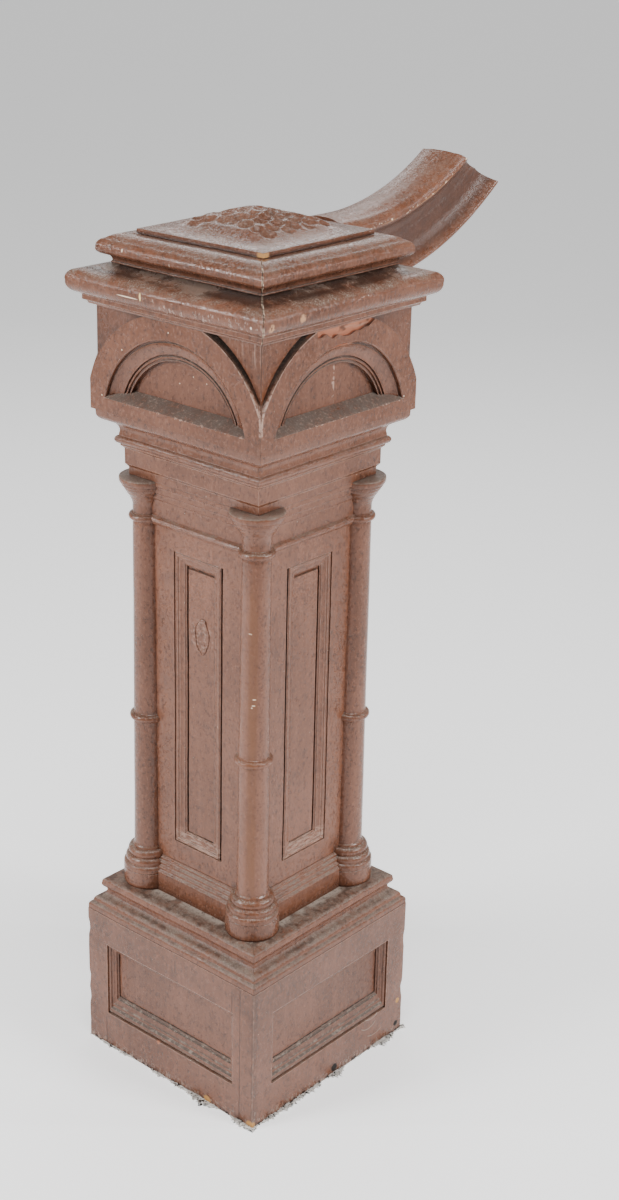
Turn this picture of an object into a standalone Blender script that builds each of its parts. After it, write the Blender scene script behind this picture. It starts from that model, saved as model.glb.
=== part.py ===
import math

import bmesh
import bpy
from mathutils import Matrix, Vector

# Painted newel post in metres. It stands on z = 0 with its axis on Z, and its front face looks toward -Y.
CLEARANCE = 0.0003

# Square foot
PLINTH_WIDTH = 0.300
PLINTH_HEIGHT = 0.200
PLINTH_PANEL_WIDTH = 0.228
PLINTH_PANEL_HEIGHT = 0.106
PLINTH_PANEL_FOOT = 0.051
PLINTH_PANEL_DEPTH = 0.014
PLINTH_FIELD_DEPTH = 0.012
PLINTH_MOULDING_WIDTH = 0.0115
PLINTH_SILL_WIDTH = 0.026
PLINTH_MOULDING_SLIT = 0.0022
PLINTH_MOULDING_SETBACK = 0.0045

# Moulded top of the foot, with the deck that the colonnettes stand on
BASE_MOULDING_HEIGHT = 0.0447
BASE_NECK_SETBACK = 0.0185

# Shaft and its long panels
SHAFT_WIDTH = 0.190
SHAFT_RISE = 0.558
SHAFT_PANEL_WIDTH = 0.082
SHAFT_PANEL_HEIGHT = 0.397
SHAFT_PANEL_FOOT = 0.076
SHAFT_PANEL_DEPTH = 0.009
SHAFT_FIELD_DEPTH = 0.0055
SHAFT_MOULDING_WIDTH = 0.015
SHAFT_MOULDING_SLIT = 0.0025
SHAFT_MOULDING_SETBACK = 0.0006
SHAFT_FIELD_SLIT = 0.0014

# Mouldings between the colonnettes
SKIRT_THICKNESS = 0.011
SKIRT_HEIGHT = 0.025
FOOT_MOULDING_HEIGHT = 0.047
FOOT_STEPS = 4
ASTRAGAL_HEIGHT = 0.012
ASTRAGAL_PROJECTION = 0.0015
FRIEZE_THICKNESS = 0.0025
BED_STEPS_HEIGHT = 0.027
BED_STEP_THICKNESS = 0.0026
BED_STEPS = 3

# Turned colonnettes: foot and middle ring measured up from the deck, capital down from the shaft's top
COLONNETTE_INSET = 0.0041
DRUM_RADIUS = 0.0343
DRUM_HEIGHT = 0.038
BASE_RINGS_TOP = 0.0545
COLUMN_RADIUS = 0.0203
COLUMN_TOP_RADIUS = 0.0176
MIDDLE_RING_HEIGHT = 0.239
MIDDLE_RING_RADIUS = 0.0240
MIDDLE_RING_REACH = 0.0110
NECK_LENGTH = 0.0185
UPPER_RING_RADIUS = 0.0225
UPPER_RING_REACH = 0.0080
NECK_RADIUS = 0.0173
BELL_HEIGHT = 0.021
BELL_RADIUS = 0.0285
DISC_THICKNESS = 0.012
DISC_RADIUS = 0.0335
COLONNETTE_SIDES = 16

# Square fascia over the colonnettes
FASCIA_WIDTH = 0.2184
FASCIA_HEIGHT = 0.0387
FASCIA_NECK_SETBACK = 0.0034
FASCIA_NECK_HEIGHT = 0.0097
FASCIA_CHAMFER = 0.0040
FASCIA_LIP_HEIGHT = 0.0022
FASCIA_LIP = 0.0035

# Bed moulding under the arched block
BED_MOULDING_HEIGHT = 0.0437
BED_CORE_WIDTH = 0.200

# Arched block
ARCH_BLOCK_WIDTH = 0.274
ARCH_BLOCK_HEIGHT = 0.126
ARCH_BOARD_THICKNESS = 0.0197
EXTRADOS_OVERRUN = 0.008
CROWN_OVERRUN = 0.008
OPENING_RADIUS = 0.1165
FIRST_STEP_WIDTH = 0.004
COVE_WIDTH = 0.0175
INNER_STEP_WIDTH = 0.005
FIRST_STEP_DEPTH = 0.004
COVE_DEPTH = 0.012
INNER_STEP_DEPTH = 0.017
SILL_HEIGHT = 0.017
SILL_RISE = 0.011
RING_EASE = 0.0015
SPANDREL_SETBACK = 0.0065
OPEN_JOINT_TOP = 0.0060
OPEN_JOINT_FOOT = 0.0012
ARCH_SIDES = 42

# Lost strip of wood at the top of the right arch
BREAK_START = -0.046
BREAK_END = 0.058
BREAK_HEIGHT = 0.009
BREAK_DEPTH = 0.006
BREAK_STEPS = 11
BREAK_TOOTH = 0.38
BREAK_BEAT = 2.4

# Cornice
CORNICE_HEIGHT = 0.0474
CORNICE_NOSE_PROJECTION = 0.0255

# Cap moulding
CAP_MOULDING_HEIGHT = 0.034
CAP_NECK_WIDTH = 0.2345
CAP_NOSE_PROJECTION = 0.0138
CAP_TOP_LEDGE = 0.0035

# Carved top plate
PLATE_WIDTH = 0.195
PLATE_RIM_HEIGHT = 0.006
PLATE_RISE = 0.0252
PLATE_TURN = 1.2
PLATE_EDGE_LEAN = 0.0012
PLATE_CELLS = 20
PLATE_SQUARENESS = 5
GOUGE_PITCH = 0.0178
GOUGE_RADIUS = 0.0115
GOUGE_DEPTH = 0.0022
GOUGED_HALF_WIDTH = 0.058

# Handrail easement
RAIL_WIDTH = 0.070
RAIL_HEIGHT = 0.0880
RAIL_INNER_RADIUS = 0.3465
RAIL_TURN_START = 0.1513
RAIL_FOOT_LEVEL = 0.0013
RAIL_END_ANGLE = 36.5
RAIL_CUT_LEAN = 25.0
RAIL_UNDER_CAP = 0.018
RAIL_STEPS = 10
RAIL_CURVE_STEPS = 3

PAINT_BROWN = (0.235, 0.125, 0.096, 1.0)
PAINT_DUSTY = (0.250, 0.150, 0.122, 1.0)
PAINT_ROUGHNESS = 0.38

SIDES = ("front", "right", "back", "left")
CORNERS = ("front_right", "back_right", "back_left", "front_left")
QUARTER_TURN = math.pi / 2
CURVE_STEPS = 4
FINE_CURVE_STEPS = 2
CUTTER_PROUD = 0.010
WELD = 1e-7

# Moulding outlines, from the foot up, as shares of each moulding's projection and height.
# A third number is the bulge of the run that follows, as a share of that run's length.
BASE_SHARES = (
    (0.968, 0.000),
    (0.957, 0.067, 0.16),
    (0.757, 0.235),
    (0.703, 0.250, 0.20),
    (0.270, 0.436, -0.17),
    (0.000, 0.638),
    (0.032, 0.671, 0.22),
    (0.243, 0.872, 0.20),
    (-0.016, 1.000),
)
BED_SHARES = (
    (0.020, 0.000, 0.42),
    (0.050, 0.238),
    (0.050, 0.288, -0.22),
    (0.337, 0.622),
    (0.354, 0.657, 0.18),
    (0.835, 0.817),
    (0.852, 1.000),
)
CORNICE_SHARES = (
    (0.270, 0.000, -0.16),
    (0.424, 0.089),
    (0.471, 0.105),
    (0.471, 0.222),
    (0.588, 0.264, 0.20),
    (1.000, 0.559, 0.22),
    (0.667, 0.842),
)
CORNICE_NOSE_POINT = 5
CAP_SHARES = (
    (0.087, 0.000),
    (0.087, 0.065),
    (0.000, 0.074, -0.24),
    (0.760, 0.318),
    (0.797, 0.338, 0.17),
    (1.000, 0.515, 0.20),
    (0.384, 0.838, 0.10),
)
# Handrail, right half from the foot up, as shares of its half width and height
RAIL_SHARES = (
    (0.929, 0.000, 0.25),
    (0.971, 0.077),
    (0.886, 0.097, -0.17),
    (0.657, 0.455, -0.17),
    (0.886, 0.773),
    (0.920, 0.813),
    (0.971, 0.822, 0.25),
    (0.620, 0.966, 0.06),
    (0.000, 1.000),
)
# Panel mouldings, outer edge to inner lip, as shares of their width and of their thickness
PANEL_SHARES = (
    (0.00, 0.86),
    (0.12, 1.00),
    (0.30, 0.93),
    (0.40, 0.70),
    (0.62, 0.58),
    (0.86, 0.50),
    (1.00, 0.28),
)
# Drum rings of the colonnettes from the top down, as shares of the run of rings and of the drum's swell
RING_SHARES = (
    (0.00, 0.09),
    (0.22, 0.46),
    (0.34, 0.50),
    (0.58, 0.79),
    (0.78, 0.87),
    (1.00, 1.00),
)
# Bell of the colonnettes from the top down, as shares of the bell's height and flare
BELL_SHARES = (
    (0.10, 1.00),
    (0.28, 0.87),
    (0.55, 0.55),
    (0.85, 0.20),
    (1.00, 0.00),
)

# Levels that follow from the heights
DECK = PLINTH_HEIGHT + BASE_MOULDING_HEIGHT + CLEARANCE
SHAFT_TOP = DECK + SHAFT_RISE
UPPER_RING_LEVEL = SHAFT_TOP - DISC_THICKNESS - BELL_HEIGHT - NECK_LENGTH
FASCIA_FOOT = SHAFT_TOP + CLEARANCE
FASCIA_TOP = FASCIA_FOOT + FASCIA_HEIGHT
BED_FOOT = FASCIA_TOP + CLEARANCE
BED_TOP = BED_FOOT + BED_MOULDING_HEIGHT
ARCH_FOOT = BED_TOP + CLEARANCE
ARCH_TOP = ARCH_FOOT + ARCH_BLOCK_HEIGHT
CORNICE_FOOT = ARCH_TOP + CLEARANCE
CORNICE_TOP = CORNICE_FOOT + CORNICE_HEIGHT
CAP_FOOT = CORNICE_TOP + CLEARANCE
CAP_TOP = CAP_FOOT + CAP_MOULDING_HEIGHT
PLATE_FOOT = CAP_TOP + CLEARANCE

PLINTH_HALF = PLINTH_WIDTH / 2
SHAFT_HALF = SHAFT_WIDTH / 2
ARCH_HALF = ARCH_BLOCK_WIDTH / 2
CORE_HALF = BED_CORE_WIDTH / 2
SPANDREL_HALF = ARCH_HALF - SPANDREL_SETBACK
CAP_NECK_HALF = CAP_NECK_WIDTH / 2
COLONNETTE_AXIS = SHAFT_HALF - COLONNETTE_INSET

# The arch's outer edge overruns the board at its corner and under the cornice
EXTRADOS_RADIUS = ARCH_HALF + EXTRADOS_OVERRUN
SECOND_RING_RADIUS = OPENING_RADIUS - FIRST_STEP_WIDTH
COVE_RADIUS = SECOND_RING_RADIUS - COVE_WIDTH
INNER_RING_RADIUS = COVE_RADIUS - INNER_STEP_WIDTH

for old in list(bpy.data.objects):
    bpy.data.objects.remove(old)

post = bpy.data.collections.new("newel_post")
cutters = bpy.data.collections.new("cutters")
bpy.context.scene.collection.children.link(post)
bpy.context.scene.collection.children.link(cutters)


def paint(name, colour):
    material = bpy.data.materials.new(name)
    material.use_nodes = True
    shader = material.node_tree.nodes["Principled BSDF"]
    shader.inputs["Base Color"].default_value = colour
    shader.inputs["Roughness"].default_value = PAINT_ROUGHNESS
    shader.inputs["Metallic"].default_value = 0.0
    return material


def add_piece(name, mesh, colour=PAINT_BROWN, turn=0.0):
    piece = bpy.data.objects.new(name, mesh)
    post.objects.link(piece)
    piece.rotation_euler = (0.0, 0.0, turn)
    if not mesh.materials:
        mesh.materials.append(None)
    piece.material_slots[0].link = "OBJECT"
    piece.material_slots[0].material = paint(name + "_paint", colour)
    return piece


def add_cutter(name, mesh, turn=0.0):
    cutter = bpy.data.objects.new(name, mesh)
    cutters.objects.link(cutter)
    cutter.rotation_euler = (0.0, 0.0, turn)
    cutter.hide_render = True
    cutter.display_type = "WIRE"
    return cutter


def combine(target, other, operation):
    modifier = target.modifiers.new(other.name, "BOOLEAN")
    modifier.operation = operation
    modifier.solver = "EXACT"
    modifier.object = other


def finished_mesh(source, name):
    bpy.context.view_layer.update()
    graph = bpy.context.evaluated_depsgraph_get()
    mesh = bpy.data.meshes.new_from_object(source.evaluated_get(graph), depsgraph=graph)
    mesh.name = name
    mesh.materials.clear()
    return mesh


def four_sides(name, mesh, colour=PAINT_BROWN):
    turned = enumerate(SIDES)
    return [add_piece(f"{name}_{side}", mesh, colour, index * QUARTER_TURN) for index, side in turned]


def arc_points(start, end, bulge, steps=CURVE_STEPS):
    # bulge is the rise of the arc as a share of its chord, outward when the profile runs upward
    a = Vector(start)
    b = Vector(end)
    chord = b - a
    outward = Vector((chord.y, -chord.x))
    spread = 4.0 * math.atan(2.0 * abs(bulge))
    radius = chord.length / (2.0 * math.sin(spread / 2.0))
    middle = (a + b) / 2.0
    side = 1.0 if bulge > 0 else -1.0
    centre = middle - outward.normalized() * side * radius * math.cos(spread / 2.0)
    first = a - centre
    turn = spread * side
    points = []
    for step in range(1, steps):
        angle = turn * step / steps
        points.append(
            (
                centre.x + first.x * math.cos(angle) - first.y * math.sin(angle),
                centre.y + first.x * math.sin(angle) + first.y * math.cos(angle),
            )
        )
    return points


def traced(corners, steps=CURVE_STEPS):
    # each corner is (out, up) or (out, up, bulge of the run that leads on from it)
    points = []
    for index, corner in enumerate(corners):
        points.append((corner[0], corner[1]))
        if len(corner) == 3:
            following = corners[(index + 1) % len(corners)]
            points.extend(arc_points(corner[:2], following[:2], corner[2], steps))
    return points


def set_off(points, distance):
    # the same run of points moved outward square to itself
    moved = []
    for index, point in enumerate(points):
        before = Vector(points[max(index - 1, 0)])
        after = Vector(points[min(index + 1, len(points) - 1)])
        here = Vector(point)
        runs = [run for run in (here - before, after - here) if run.length > 0]
        normals = [Vector((run.y, -run.x)).normalized() for run in runs]
        middle = sum(normals, Vector((0, 0))).normalized()
        reach = distance / max(0.35, middle.dot(normals[0]))
        moved.append((here.x + middle.x * reach, here.y + middle.y * reach))
    return moved


def moulding(outline, out_from, projection, foot, height):
    # the shares of an outline turned into sizes
    return [(out_from + corner[0] * projection, foot + corner[1] * height) + corner[2:] for corner in outline]


def flat_mesh(name, outlines, half_thickness):
    curve = bpy.data.curves.new(name, "CURVE")
    curve.dimensions = "2D"
    curve.fill_mode = "BOTH"
    curve.extrude = half_thickness
    for outline in outlines:
        spline = curve.splines.new("POLY")
        spline.points.add(len(outline) - 1)
        for point, (across, up) in zip(spline.points, outline):
            point.co = (across, up, 0.0, 1.0)
        spline.use_cyclic_u = True
    holder = bpy.data.objects.new(name, curve)
    cutters.objects.link(holder)
    mesh = finished_mesh(holder, name)
    bpy.data.objects.remove(holder)
    work = bmesh.new()
    work.from_mesh(mesh)
    bmesh.ops.remove_doubles(work, verts=work.verts, dist=WELD)
    bmesh.ops.recalc_face_normals(work, faces=work.faces)
    work.to_mesh(mesh)
    work.free()
    return mesh


def keep_side(mesh, point, normal):
    # cuts off what lies on the side that the normal points to and closes the cut
    work = bmesh.new()
    work.from_mesh(mesh)
    parts = work.verts[:] + work.edges[:] + work.faces[:]
    cut = bmesh.ops.bisect_plane(
        work,
        geom=parts,
        plane_co=point,
        plane_no=normal,
        clear_outer=True,
        dist=WELD,
    )
    rim = [part for part in cut["geom_cut"] if isinstance(part, bmesh.types.BMEdge)]
    bmesh.ops.holes_fill(work, edges=rim)
    bmesh.ops.recalc_face_normals(work, faces=work.faces)
    work.to_mesh(mesh)
    work.free()


def mitred_strip(name, outline, reach):
    # the outline is (distance out from the axis, height), on the front face and mitred at both ends
    mesh = flat_mesh(name, [outline], reach)
    mesh.transform(Matrix(((0, 0, 1, 0), (-1, 0, 0, 0), (0, 1, 0, 0), (0, 0, 0, 1))))
    gap = CLEARANCE / math.sqrt(2.0)
    for side in (1, -1):
        normal = Vector((side, 1, 0)).normalized()
        keep_side(mesh, normal * -gap, normal)
    return mesh


def straight_strip(name, outline, half_length):
    mesh = flat_mesh(name, [outline], half_length)
    mesh.transform(Matrix(((0, 0, 1, 0), (-1, 0, 0, 0), (0, 1, 0, 0), (0, 0, 0, 1))))
    return mesh


def turned_mesh(name, profile, sides, start=0.0):
    # profile is (radius, height) from the top down the outer side to the foot
    mesh = bpy.data.meshes.new(name)
    points = [(radius, 0.0, height) for radius, height in profile]
    mesh.from_pydata(points, [(index, index + 1) for index in range(len(points) - 1)], [])
    holder = bpy.data.objects.new(name, mesh)
    cutters.objects.link(holder)
    screw = holder.modifiers.new("turn", "SCREW")
    screw.axis = "Z"
    screw.steps = sides
    screw.render_steps = sides
    screw.use_merge_vertices = True
    screw.merge_threshold = 0.00005
    turned = finished_mesh(holder, name)
    bpy.data.objects.remove(holder)
    turned.transform(Matrix.Rotation(start, 4, "Z"))
    return turned


def square_mesh(name, profile):
    # profile is (half width, height) from the top down
    widened = [(half * math.sqrt(2.0), height) for half, height in profile]
    return turned_mesh(name, widened, 4, math.pi / 4)


def box_mesh(name, low, high):
    work = bmesh.new()
    bmesh.ops.create_cube(work, size=1.0)
    size = Vector(high) - Vector(low)
    centre = (Vector(high) + Vector(low)) / 2.0
    bmesh.ops.scale(work, vec=size, verts=work.verts)
    bmesh.ops.translate(work, vec=centre, verts=work.verts)
    mesh = bpy.data.meshes.new(name)
    work.to_mesh(mesh)
    work.free()
    return mesh


def panel_ring(name, width, height, foot, face, slit, sections, sill_share):
    # sections are (inset, depth below the face); the lower member is wider by sill_share
    loops = []
    work = bmesh.new()
    for inset, depth in sections:
        side = width / 2 - slit - inset
        low = foot + slit + inset * sill_share
        high = foot + height - slit - inset
        level = -face + depth
        corners = ((-side, low), (side, low), (side, high), (-side, high))
        loops.append([work.verts.new((across, level, up)) for across, up in corners])
    for index, loop in enumerate(loops):
        following = loops[(index + 1) % len(loops)]
        for corner in range(4):
            after = (corner + 1) % 4
            work.faces.new((loop[corner], loop[after], following[after], following[corner]))
    bmesh.ops.recalc_face_normals(work, faces=work.faces)
    mesh = bpy.data.meshes.new(name)
    work.to_mesh(mesh)
    work.free()
    return mesh


def sunk_panels(body, face, width, height, foot, depth, field_depth, field_inset, sill_inset):
    recess_low = (-width / 2, -face - CUTTER_PROUD, foot)
    recess = box_mesh("recess", recess_low, (width / 2, -face + depth, foot + height))
    field_low = foot + sill_inset
    field_high = foot + height - field_inset
    field_half = width / 2 - field_inset
    field_back = -face + depth + CUTTER_PROUD
    field_near = (-field_half, -face + field_depth, field_low)
    field = box_mesh("field", field_near, (field_half, field_back, field_high))
    for index, side in enumerate(SIDES):
        combine(body, add_cutter(f"recess_{body.name}_{side}", recess, index * QUARTER_TURN), "DIFFERENCE")
        combine(body, add_cutter(f"field_{body.name}_{side}", field, index * QUARTER_TURN), "UNION")


def panel_sections(width, setback, floor_depth):
    # a planted panel moulding from its outer edge to its inner lip, as (inset, depth below the face)
    seat = floor_depth - CLEARANCE
    raised = [(width * across, seat - (seat - setback) * share) for across, share in PANEL_SHARES]
    return [(0.0, seat)] + raised + [(width, seat)]


# Square foot with its sunk panels
plinth_profile = [(0, PLINTH_HEIGHT), (PLINTH_HALF, PLINTH_HEIGHT), (PLINTH_HALF, 0), (0, 0)]
plinth = add_piece("plinth", square_mesh("plinth", plinth_profile))
sunk_panels(
    plinth,
    PLINTH_HALF,
    PLINTH_PANEL_WIDTH,
    PLINTH_PANEL_HEIGHT,
    PLINTH_PANEL_FOOT,
    PLINTH_PANEL_DEPTH,
    PLINTH_FIELD_DEPTH,
    PLINTH_MOULDING_SLIT + PLINTH_MOULDING_WIDTH + CLEARANCE,
    PLINTH_MOULDING_SLIT + PLINTH_SILL_WIDTH + CLEARANCE,
)
plinth_moulding = panel_ring(
    "plinth_panel_moulding",
    PLINTH_PANEL_WIDTH,
    PLINTH_PANEL_HEIGHT,
    PLINTH_PANEL_FOOT,
    PLINTH_HALF,
    PLINTH_MOULDING_SLIT,
    panel_sections(PLINTH_MOULDING_WIDTH, PLINTH_MOULDING_SETBACK, PLINTH_PANEL_DEPTH),
    PLINTH_SILL_WIDTH / PLINTH_MOULDING_WIDTH,
)
four_sides("plinth_panel_moulding", plinth_moulding, PAINT_DUSTY)

# Ogee, neck and nosing on the foot; its flat top is the deck
base_foot = PLINTH_HEIGHT + CLEARANCE
base_back = SHAFT_HALF + CLEARANCE
neck_out = PLINTH_HALF - BASE_NECK_SETBACK
base_corners = moulding(BASE_SHARES, neck_out, BASE_NECK_SETBACK, base_foot, BASE_MOULDING_HEIGHT)
base_outline = traced([(base_back, base_foot)] + base_corners + [(base_back, DECK)])
four_sides("base_moulding", mitred_strip("base_moulding", base_outline, PLINTH_WIDTH), PAINT_DUSTY)

# Shaft with a long panel in each face
shaft_field_inset = SHAFT_MOULDING_SLIT + SHAFT_MOULDING_WIDTH + SHAFT_FIELD_SLIT
shaft_profile = [(0, SHAFT_TOP), (SHAFT_HALF, SHAFT_TOP), (SHAFT_HALF, base_foot), (0, base_foot)]
shaft = add_piece("shaft", square_mesh("shaft", shaft_profile))
sunk_panels(
    shaft,
    SHAFT_HALF,
    SHAFT_PANEL_WIDTH,
    SHAFT_PANEL_HEIGHT,
    DECK + SHAFT_PANEL_FOOT,
    SHAFT_PANEL_DEPTH,
    SHAFT_FIELD_DEPTH,
    shaft_field_inset,
    shaft_field_inset,
)
shaft_moulding = panel_ring(
    "shaft_panel_moulding",
    SHAFT_PANEL_WIDTH,
    SHAFT_PANEL_HEIGHT,
    DECK + SHAFT_PANEL_FOOT,
    SHAFT_HALF,
    SHAFT_MOULDING_SLIT,
    panel_sections(SHAFT_MOULDING_WIDTH, SHAFT_MOULDING_SETBACK, SHAFT_PANEL_DEPTH),
    1.0,
)
four_sides("shaft_panel_moulding", shaft_moulding)


def colonnette_profile(grown):
    # radius and height from the top down, wider all round by grown
    rings_top = DECK + BASE_RINGS_TOP
    ring_run = BASE_RINGS_TOP - DRUM_HEIGHT
    swell = DRUM_RADIUS - COLUMN_RADIUS
    middle = DECK + MIDDLE_RING_HEIGHT
    upper = UPPER_RING_LEVEL
    disc = SHAFT_TOP - DISC_THICKNESS
    flare = BELL_RADIUS - NECK_RADIUS
    ease = DISC_THICKNESS * 0.28
    taper = (COLUMN_RADIUS - COLUMN_TOP_RADIUS) / (upper - DECK)
    middle_shaft = COLUMN_RADIUS - taper * MIDDLE_RING_HEIGHT
    middle_swell = MIDDLE_RING_RADIUS - middle_shaft
    upper_swell = UPPER_RING_RADIUS - NECK_RADIUS
    profile = [
        (DISC_RADIUS - ease / 2, SHAFT_TOP),
        (DISC_RADIUS, SHAFT_TOP - ease),
        (DISC_RADIUS, disc + ease),
        (DISC_RADIUS - ease, disc),
    ]
    profile += [(NECK_RADIUS + flare * share, disc - BELL_HEIGHT * down) for down, share in BELL_SHARES]
    profile += [
        (NECK_RADIUS, upper + UPPER_RING_REACH),
        (NECK_RADIUS + upper_swell * 0.8, upper + UPPER_RING_REACH * 0.55),
        (UPPER_RING_RADIUS, upper),
        (NECK_RADIUS + upper_swell * 0.8, upper - UPPER_RING_REACH * 0.55),
        (COLUMN_TOP_RADIUS, upper - UPPER_RING_REACH),
        (middle_shaft, middle + MIDDLE_RING_REACH),
        (middle_shaft + middle_swell * 0.7, middle + MIDDLE_RING_REACH * 0.6),
        (MIDDLE_RING_RADIUS, middle),
        (middle_shaft + middle_swell * 0.7, middle - MIDDLE_RING_REACH * 0.6),
        (middle_shaft, middle - MIDDLE_RING_REACH),
        (COLUMN_RADIUS, rings_top + ease / 2),
    ]
    profile += [(COLUMN_RADIUS + swell * share, rings_top - ring_run * down) for down, share in RING_SHARES]
    profile.append((DRUM_RADIUS, DECK + CLEARANCE))
    if grown:
        widened = [(radius + grown, height) for radius, height in profile]
        top = (widened[0][0], SHAFT_TOP + CUTTER_PROUD)
        low = (widened[-1][0], DECK - CUTTER_PROUD)
        return [(0.0, top[1]), top] + widened + [low, (0.0, low[1])]
    return [(0.0, profile[0][1])] + profile + [(0.0, profile[-1][1])]


# Turned colonnettes, rebated over the shaft's corners
corner_place = Matrix.Translation((COLONNETTE_AXIS, -COLONNETTE_AXIS, 0.0))
turned = turned_mesh("colonnette_round", colonnette_profile(0.0), COLONNETTE_SIDES)
turned.transform(corner_place)
round_colonnette = add_cutter("colonnette_round", turned)
rebate_half = SHAFT_HALF + CLEARANCE
rebate_low = (-rebate_half, -rebate_half, 0.0)
rebate_mesh = box_mesh("colonnette_rebate", rebate_low, (rebate_half, rebate_half, ARCH_TOP))
rebate = add_cutter("colonnette_rebate", rebate_mesh)
combine(round_colonnette, rebate, "DIFFERENCE")
colonnette = finished_mesh(round_colonnette, "colonnette")
for index, corner in enumerate(CORNERS):
    add_piece(f"colonnette_{corner}", colonnette, PAINT_BROWN, index * QUARTER_TURN)

# Outline of the colonnettes with their clearance, for what is fitted between them
around = turned_mesh("around_colonnette", colonnette_profile(CLEARANCE), COLONNETTE_SIDES)
around.transform(corner_place)
around_right = add_cutter("around_colonnette_right", around)
around_left = add_cutter("around_colonnette_left", around, -QUARTER_TURN)


def between_colonnettes(name, outline):
    blank = add_cutter(name + "_blank", straight_strip(name, outline, COLONNETTE_AXIS))
    combine(blank, around_right, "DIFFERENCE")
    combine(blank, around_left, "DIFFERENCE")
    return finished_mesh(blank, name)


face = SHAFT_HALF + CLEARANCE
skirt = face + SKIRT_THICKNESS
foot = DECK + CLEARANCE
foot_top = DECK + FOOT_MOULDING_HEIGHT
foot_run = (FOOT_MOULDING_HEIGHT - SKIRT_HEIGHT) / FOOT_STEPS
foot_step = SKIRT_THICKNESS / FOOT_STEPS
foot_corners = [(face, foot), (skirt, foot)]
for step in range(FOOT_STEPS):
    low = DECK + SKIRT_HEIGHT + foot_run * step
    out = skirt - foot_step * step
    foot_corners.append((out, low, 0.28))
    foot_corners.append((out - foot_step * 0.55, low + foot_run * 0.72))
foot_corners.append((face + foot_step * 0.4, foot_top))
foot_corners.append((face, foot_top))
foot_outline = traced(foot_corners, FINE_CURVE_STEPS)
four_sides("foot_moulding", between_colonnettes("foot_moulding", foot_outline), PAINT_DUSTY)

astragal_low = UPPER_RING_LEVEL - ASTRAGAL_HEIGHT / 2
astragal_high = astragal_low + ASTRAGAL_HEIGHT
frieze = face + FRIEZE_THICKNESS
bed_low = SHAFT_TOP - BED_STEPS_HEIGHT
step_run = BED_STEPS_HEIGHT / BED_STEPS
frieze_corners = [
    (face, astragal_low),
    (frieze, astragal_low),
    (frieze + ASTRAGAL_PROJECTION, astragal_low + ASTRAGAL_HEIGHT * 0.25, 0.40),
    (frieze + ASTRAGAL_PROJECTION, astragal_high - ASTRAGAL_HEIGHT * 0.10),
    (frieze, astragal_high),
]
for step in range(BED_STEPS):
    low = bed_low + step_run * step
    out = frieze + BED_STEP_THICKNESS * step
    frieze_corners.append((out, low, -0.20))
    frieze_corners.append((out + BED_STEP_THICKNESS, low + step_run * 0.45))
frieze_corners.append((frieze + BED_STEP_THICKNESS * BED_STEPS, SHAFT_TOP))
frieze_corners.append((face, SHAFT_TOP))
frieze_outline = traced(frieze_corners, FINE_CURVE_STEPS)
four_sides("frieze_moulding", between_colonnettes("frieze_moulding", frieze_outline))

# Square fascia
fascia_half = FASCIA_WIDTH / 2
fascia_neck = fascia_half - FASCIA_NECK_SETBACK
fascia_lip = fascia_half + FASCIA_LIP
neck_top = FASCIA_FOOT + FASCIA_NECK_HEIGHT
fascia_profile = [
    (0.0, FASCIA_TOP),
    (fascia_lip, FASCIA_TOP),
    (fascia_lip, FASCIA_TOP - FASCIA_LIP_HEIGHT),
    (fascia_half, FASCIA_TOP - FASCIA_LIP_HEIGHT - FASCIA_LIP),
    (fascia_half, neck_top + FASCIA_CHAMFER),
    (fascia_neck, neck_top),
    (fascia_neck, FASCIA_FOOT),
    (0.0, FASCIA_FOOT),
]
add_piece("fascia", square_mesh("fascia", fascia_profile))

# Block that carries the arch boards, the cornice and the cap
core_inner = CORE_HALF - CLEARANCE
tympanum_half = ARCH_HALF - ARCH_BOARD_THICKNESS - CLEARANCE
block_profile = [
    (0.0, CAP_TOP),
    (core_inner, CAP_TOP),
    (core_inner, ARCH_TOP),
    (tympanum_half, ARCH_TOP),
    (tympanum_half, ARCH_FOOT),
    (core_inner, ARCH_FOOT),
    (core_inner, BED_FOOT),
    (0.0, BED_FOOT),
]
add_piece("arch_block", square_mesh("arch_block", block_profile))

# Bead, cove and ovolo under the arched block
bed_corners = moulding(BED_SHARES, fascia_lip, ARCH_HALF - fascia_lip, BED_FOOT, BED_MOULDING_HEIGHT)
bed_outline = traced([(CORE_HALF, BED_FOOT)] + bed_corners + [(CORE_HALF, BED_TOP)])
four_sides("bed_moulding", mitred_strip("bed_moulding", bed_outline, ARCH_BLOCK_WIDTH))

# Arch boards, mitred at the corners, with a stepped and coved half-round opening
arch_centre = ARCH_TOP + CROWN_OVERRUN - EXTRADOS_RADIUS
board_back = ARCH_HALF - ARCH_BOARD_THICKNESS


def arc_in_face(radius, low_angle, high_angle, steps, widening=None):
    # points of an arc over the face, from the right side up and over
    points = []
    for step in range(steps + 1):
        share = step / steps
        angle = low_angle + (high_angle - low_angle) * share
        reach = radius + (widening(share) if widening else 0.0)
        points.append((reach * math.cos(angle), arch_centre + reach * math.sin(angle)))
    return points


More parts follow.
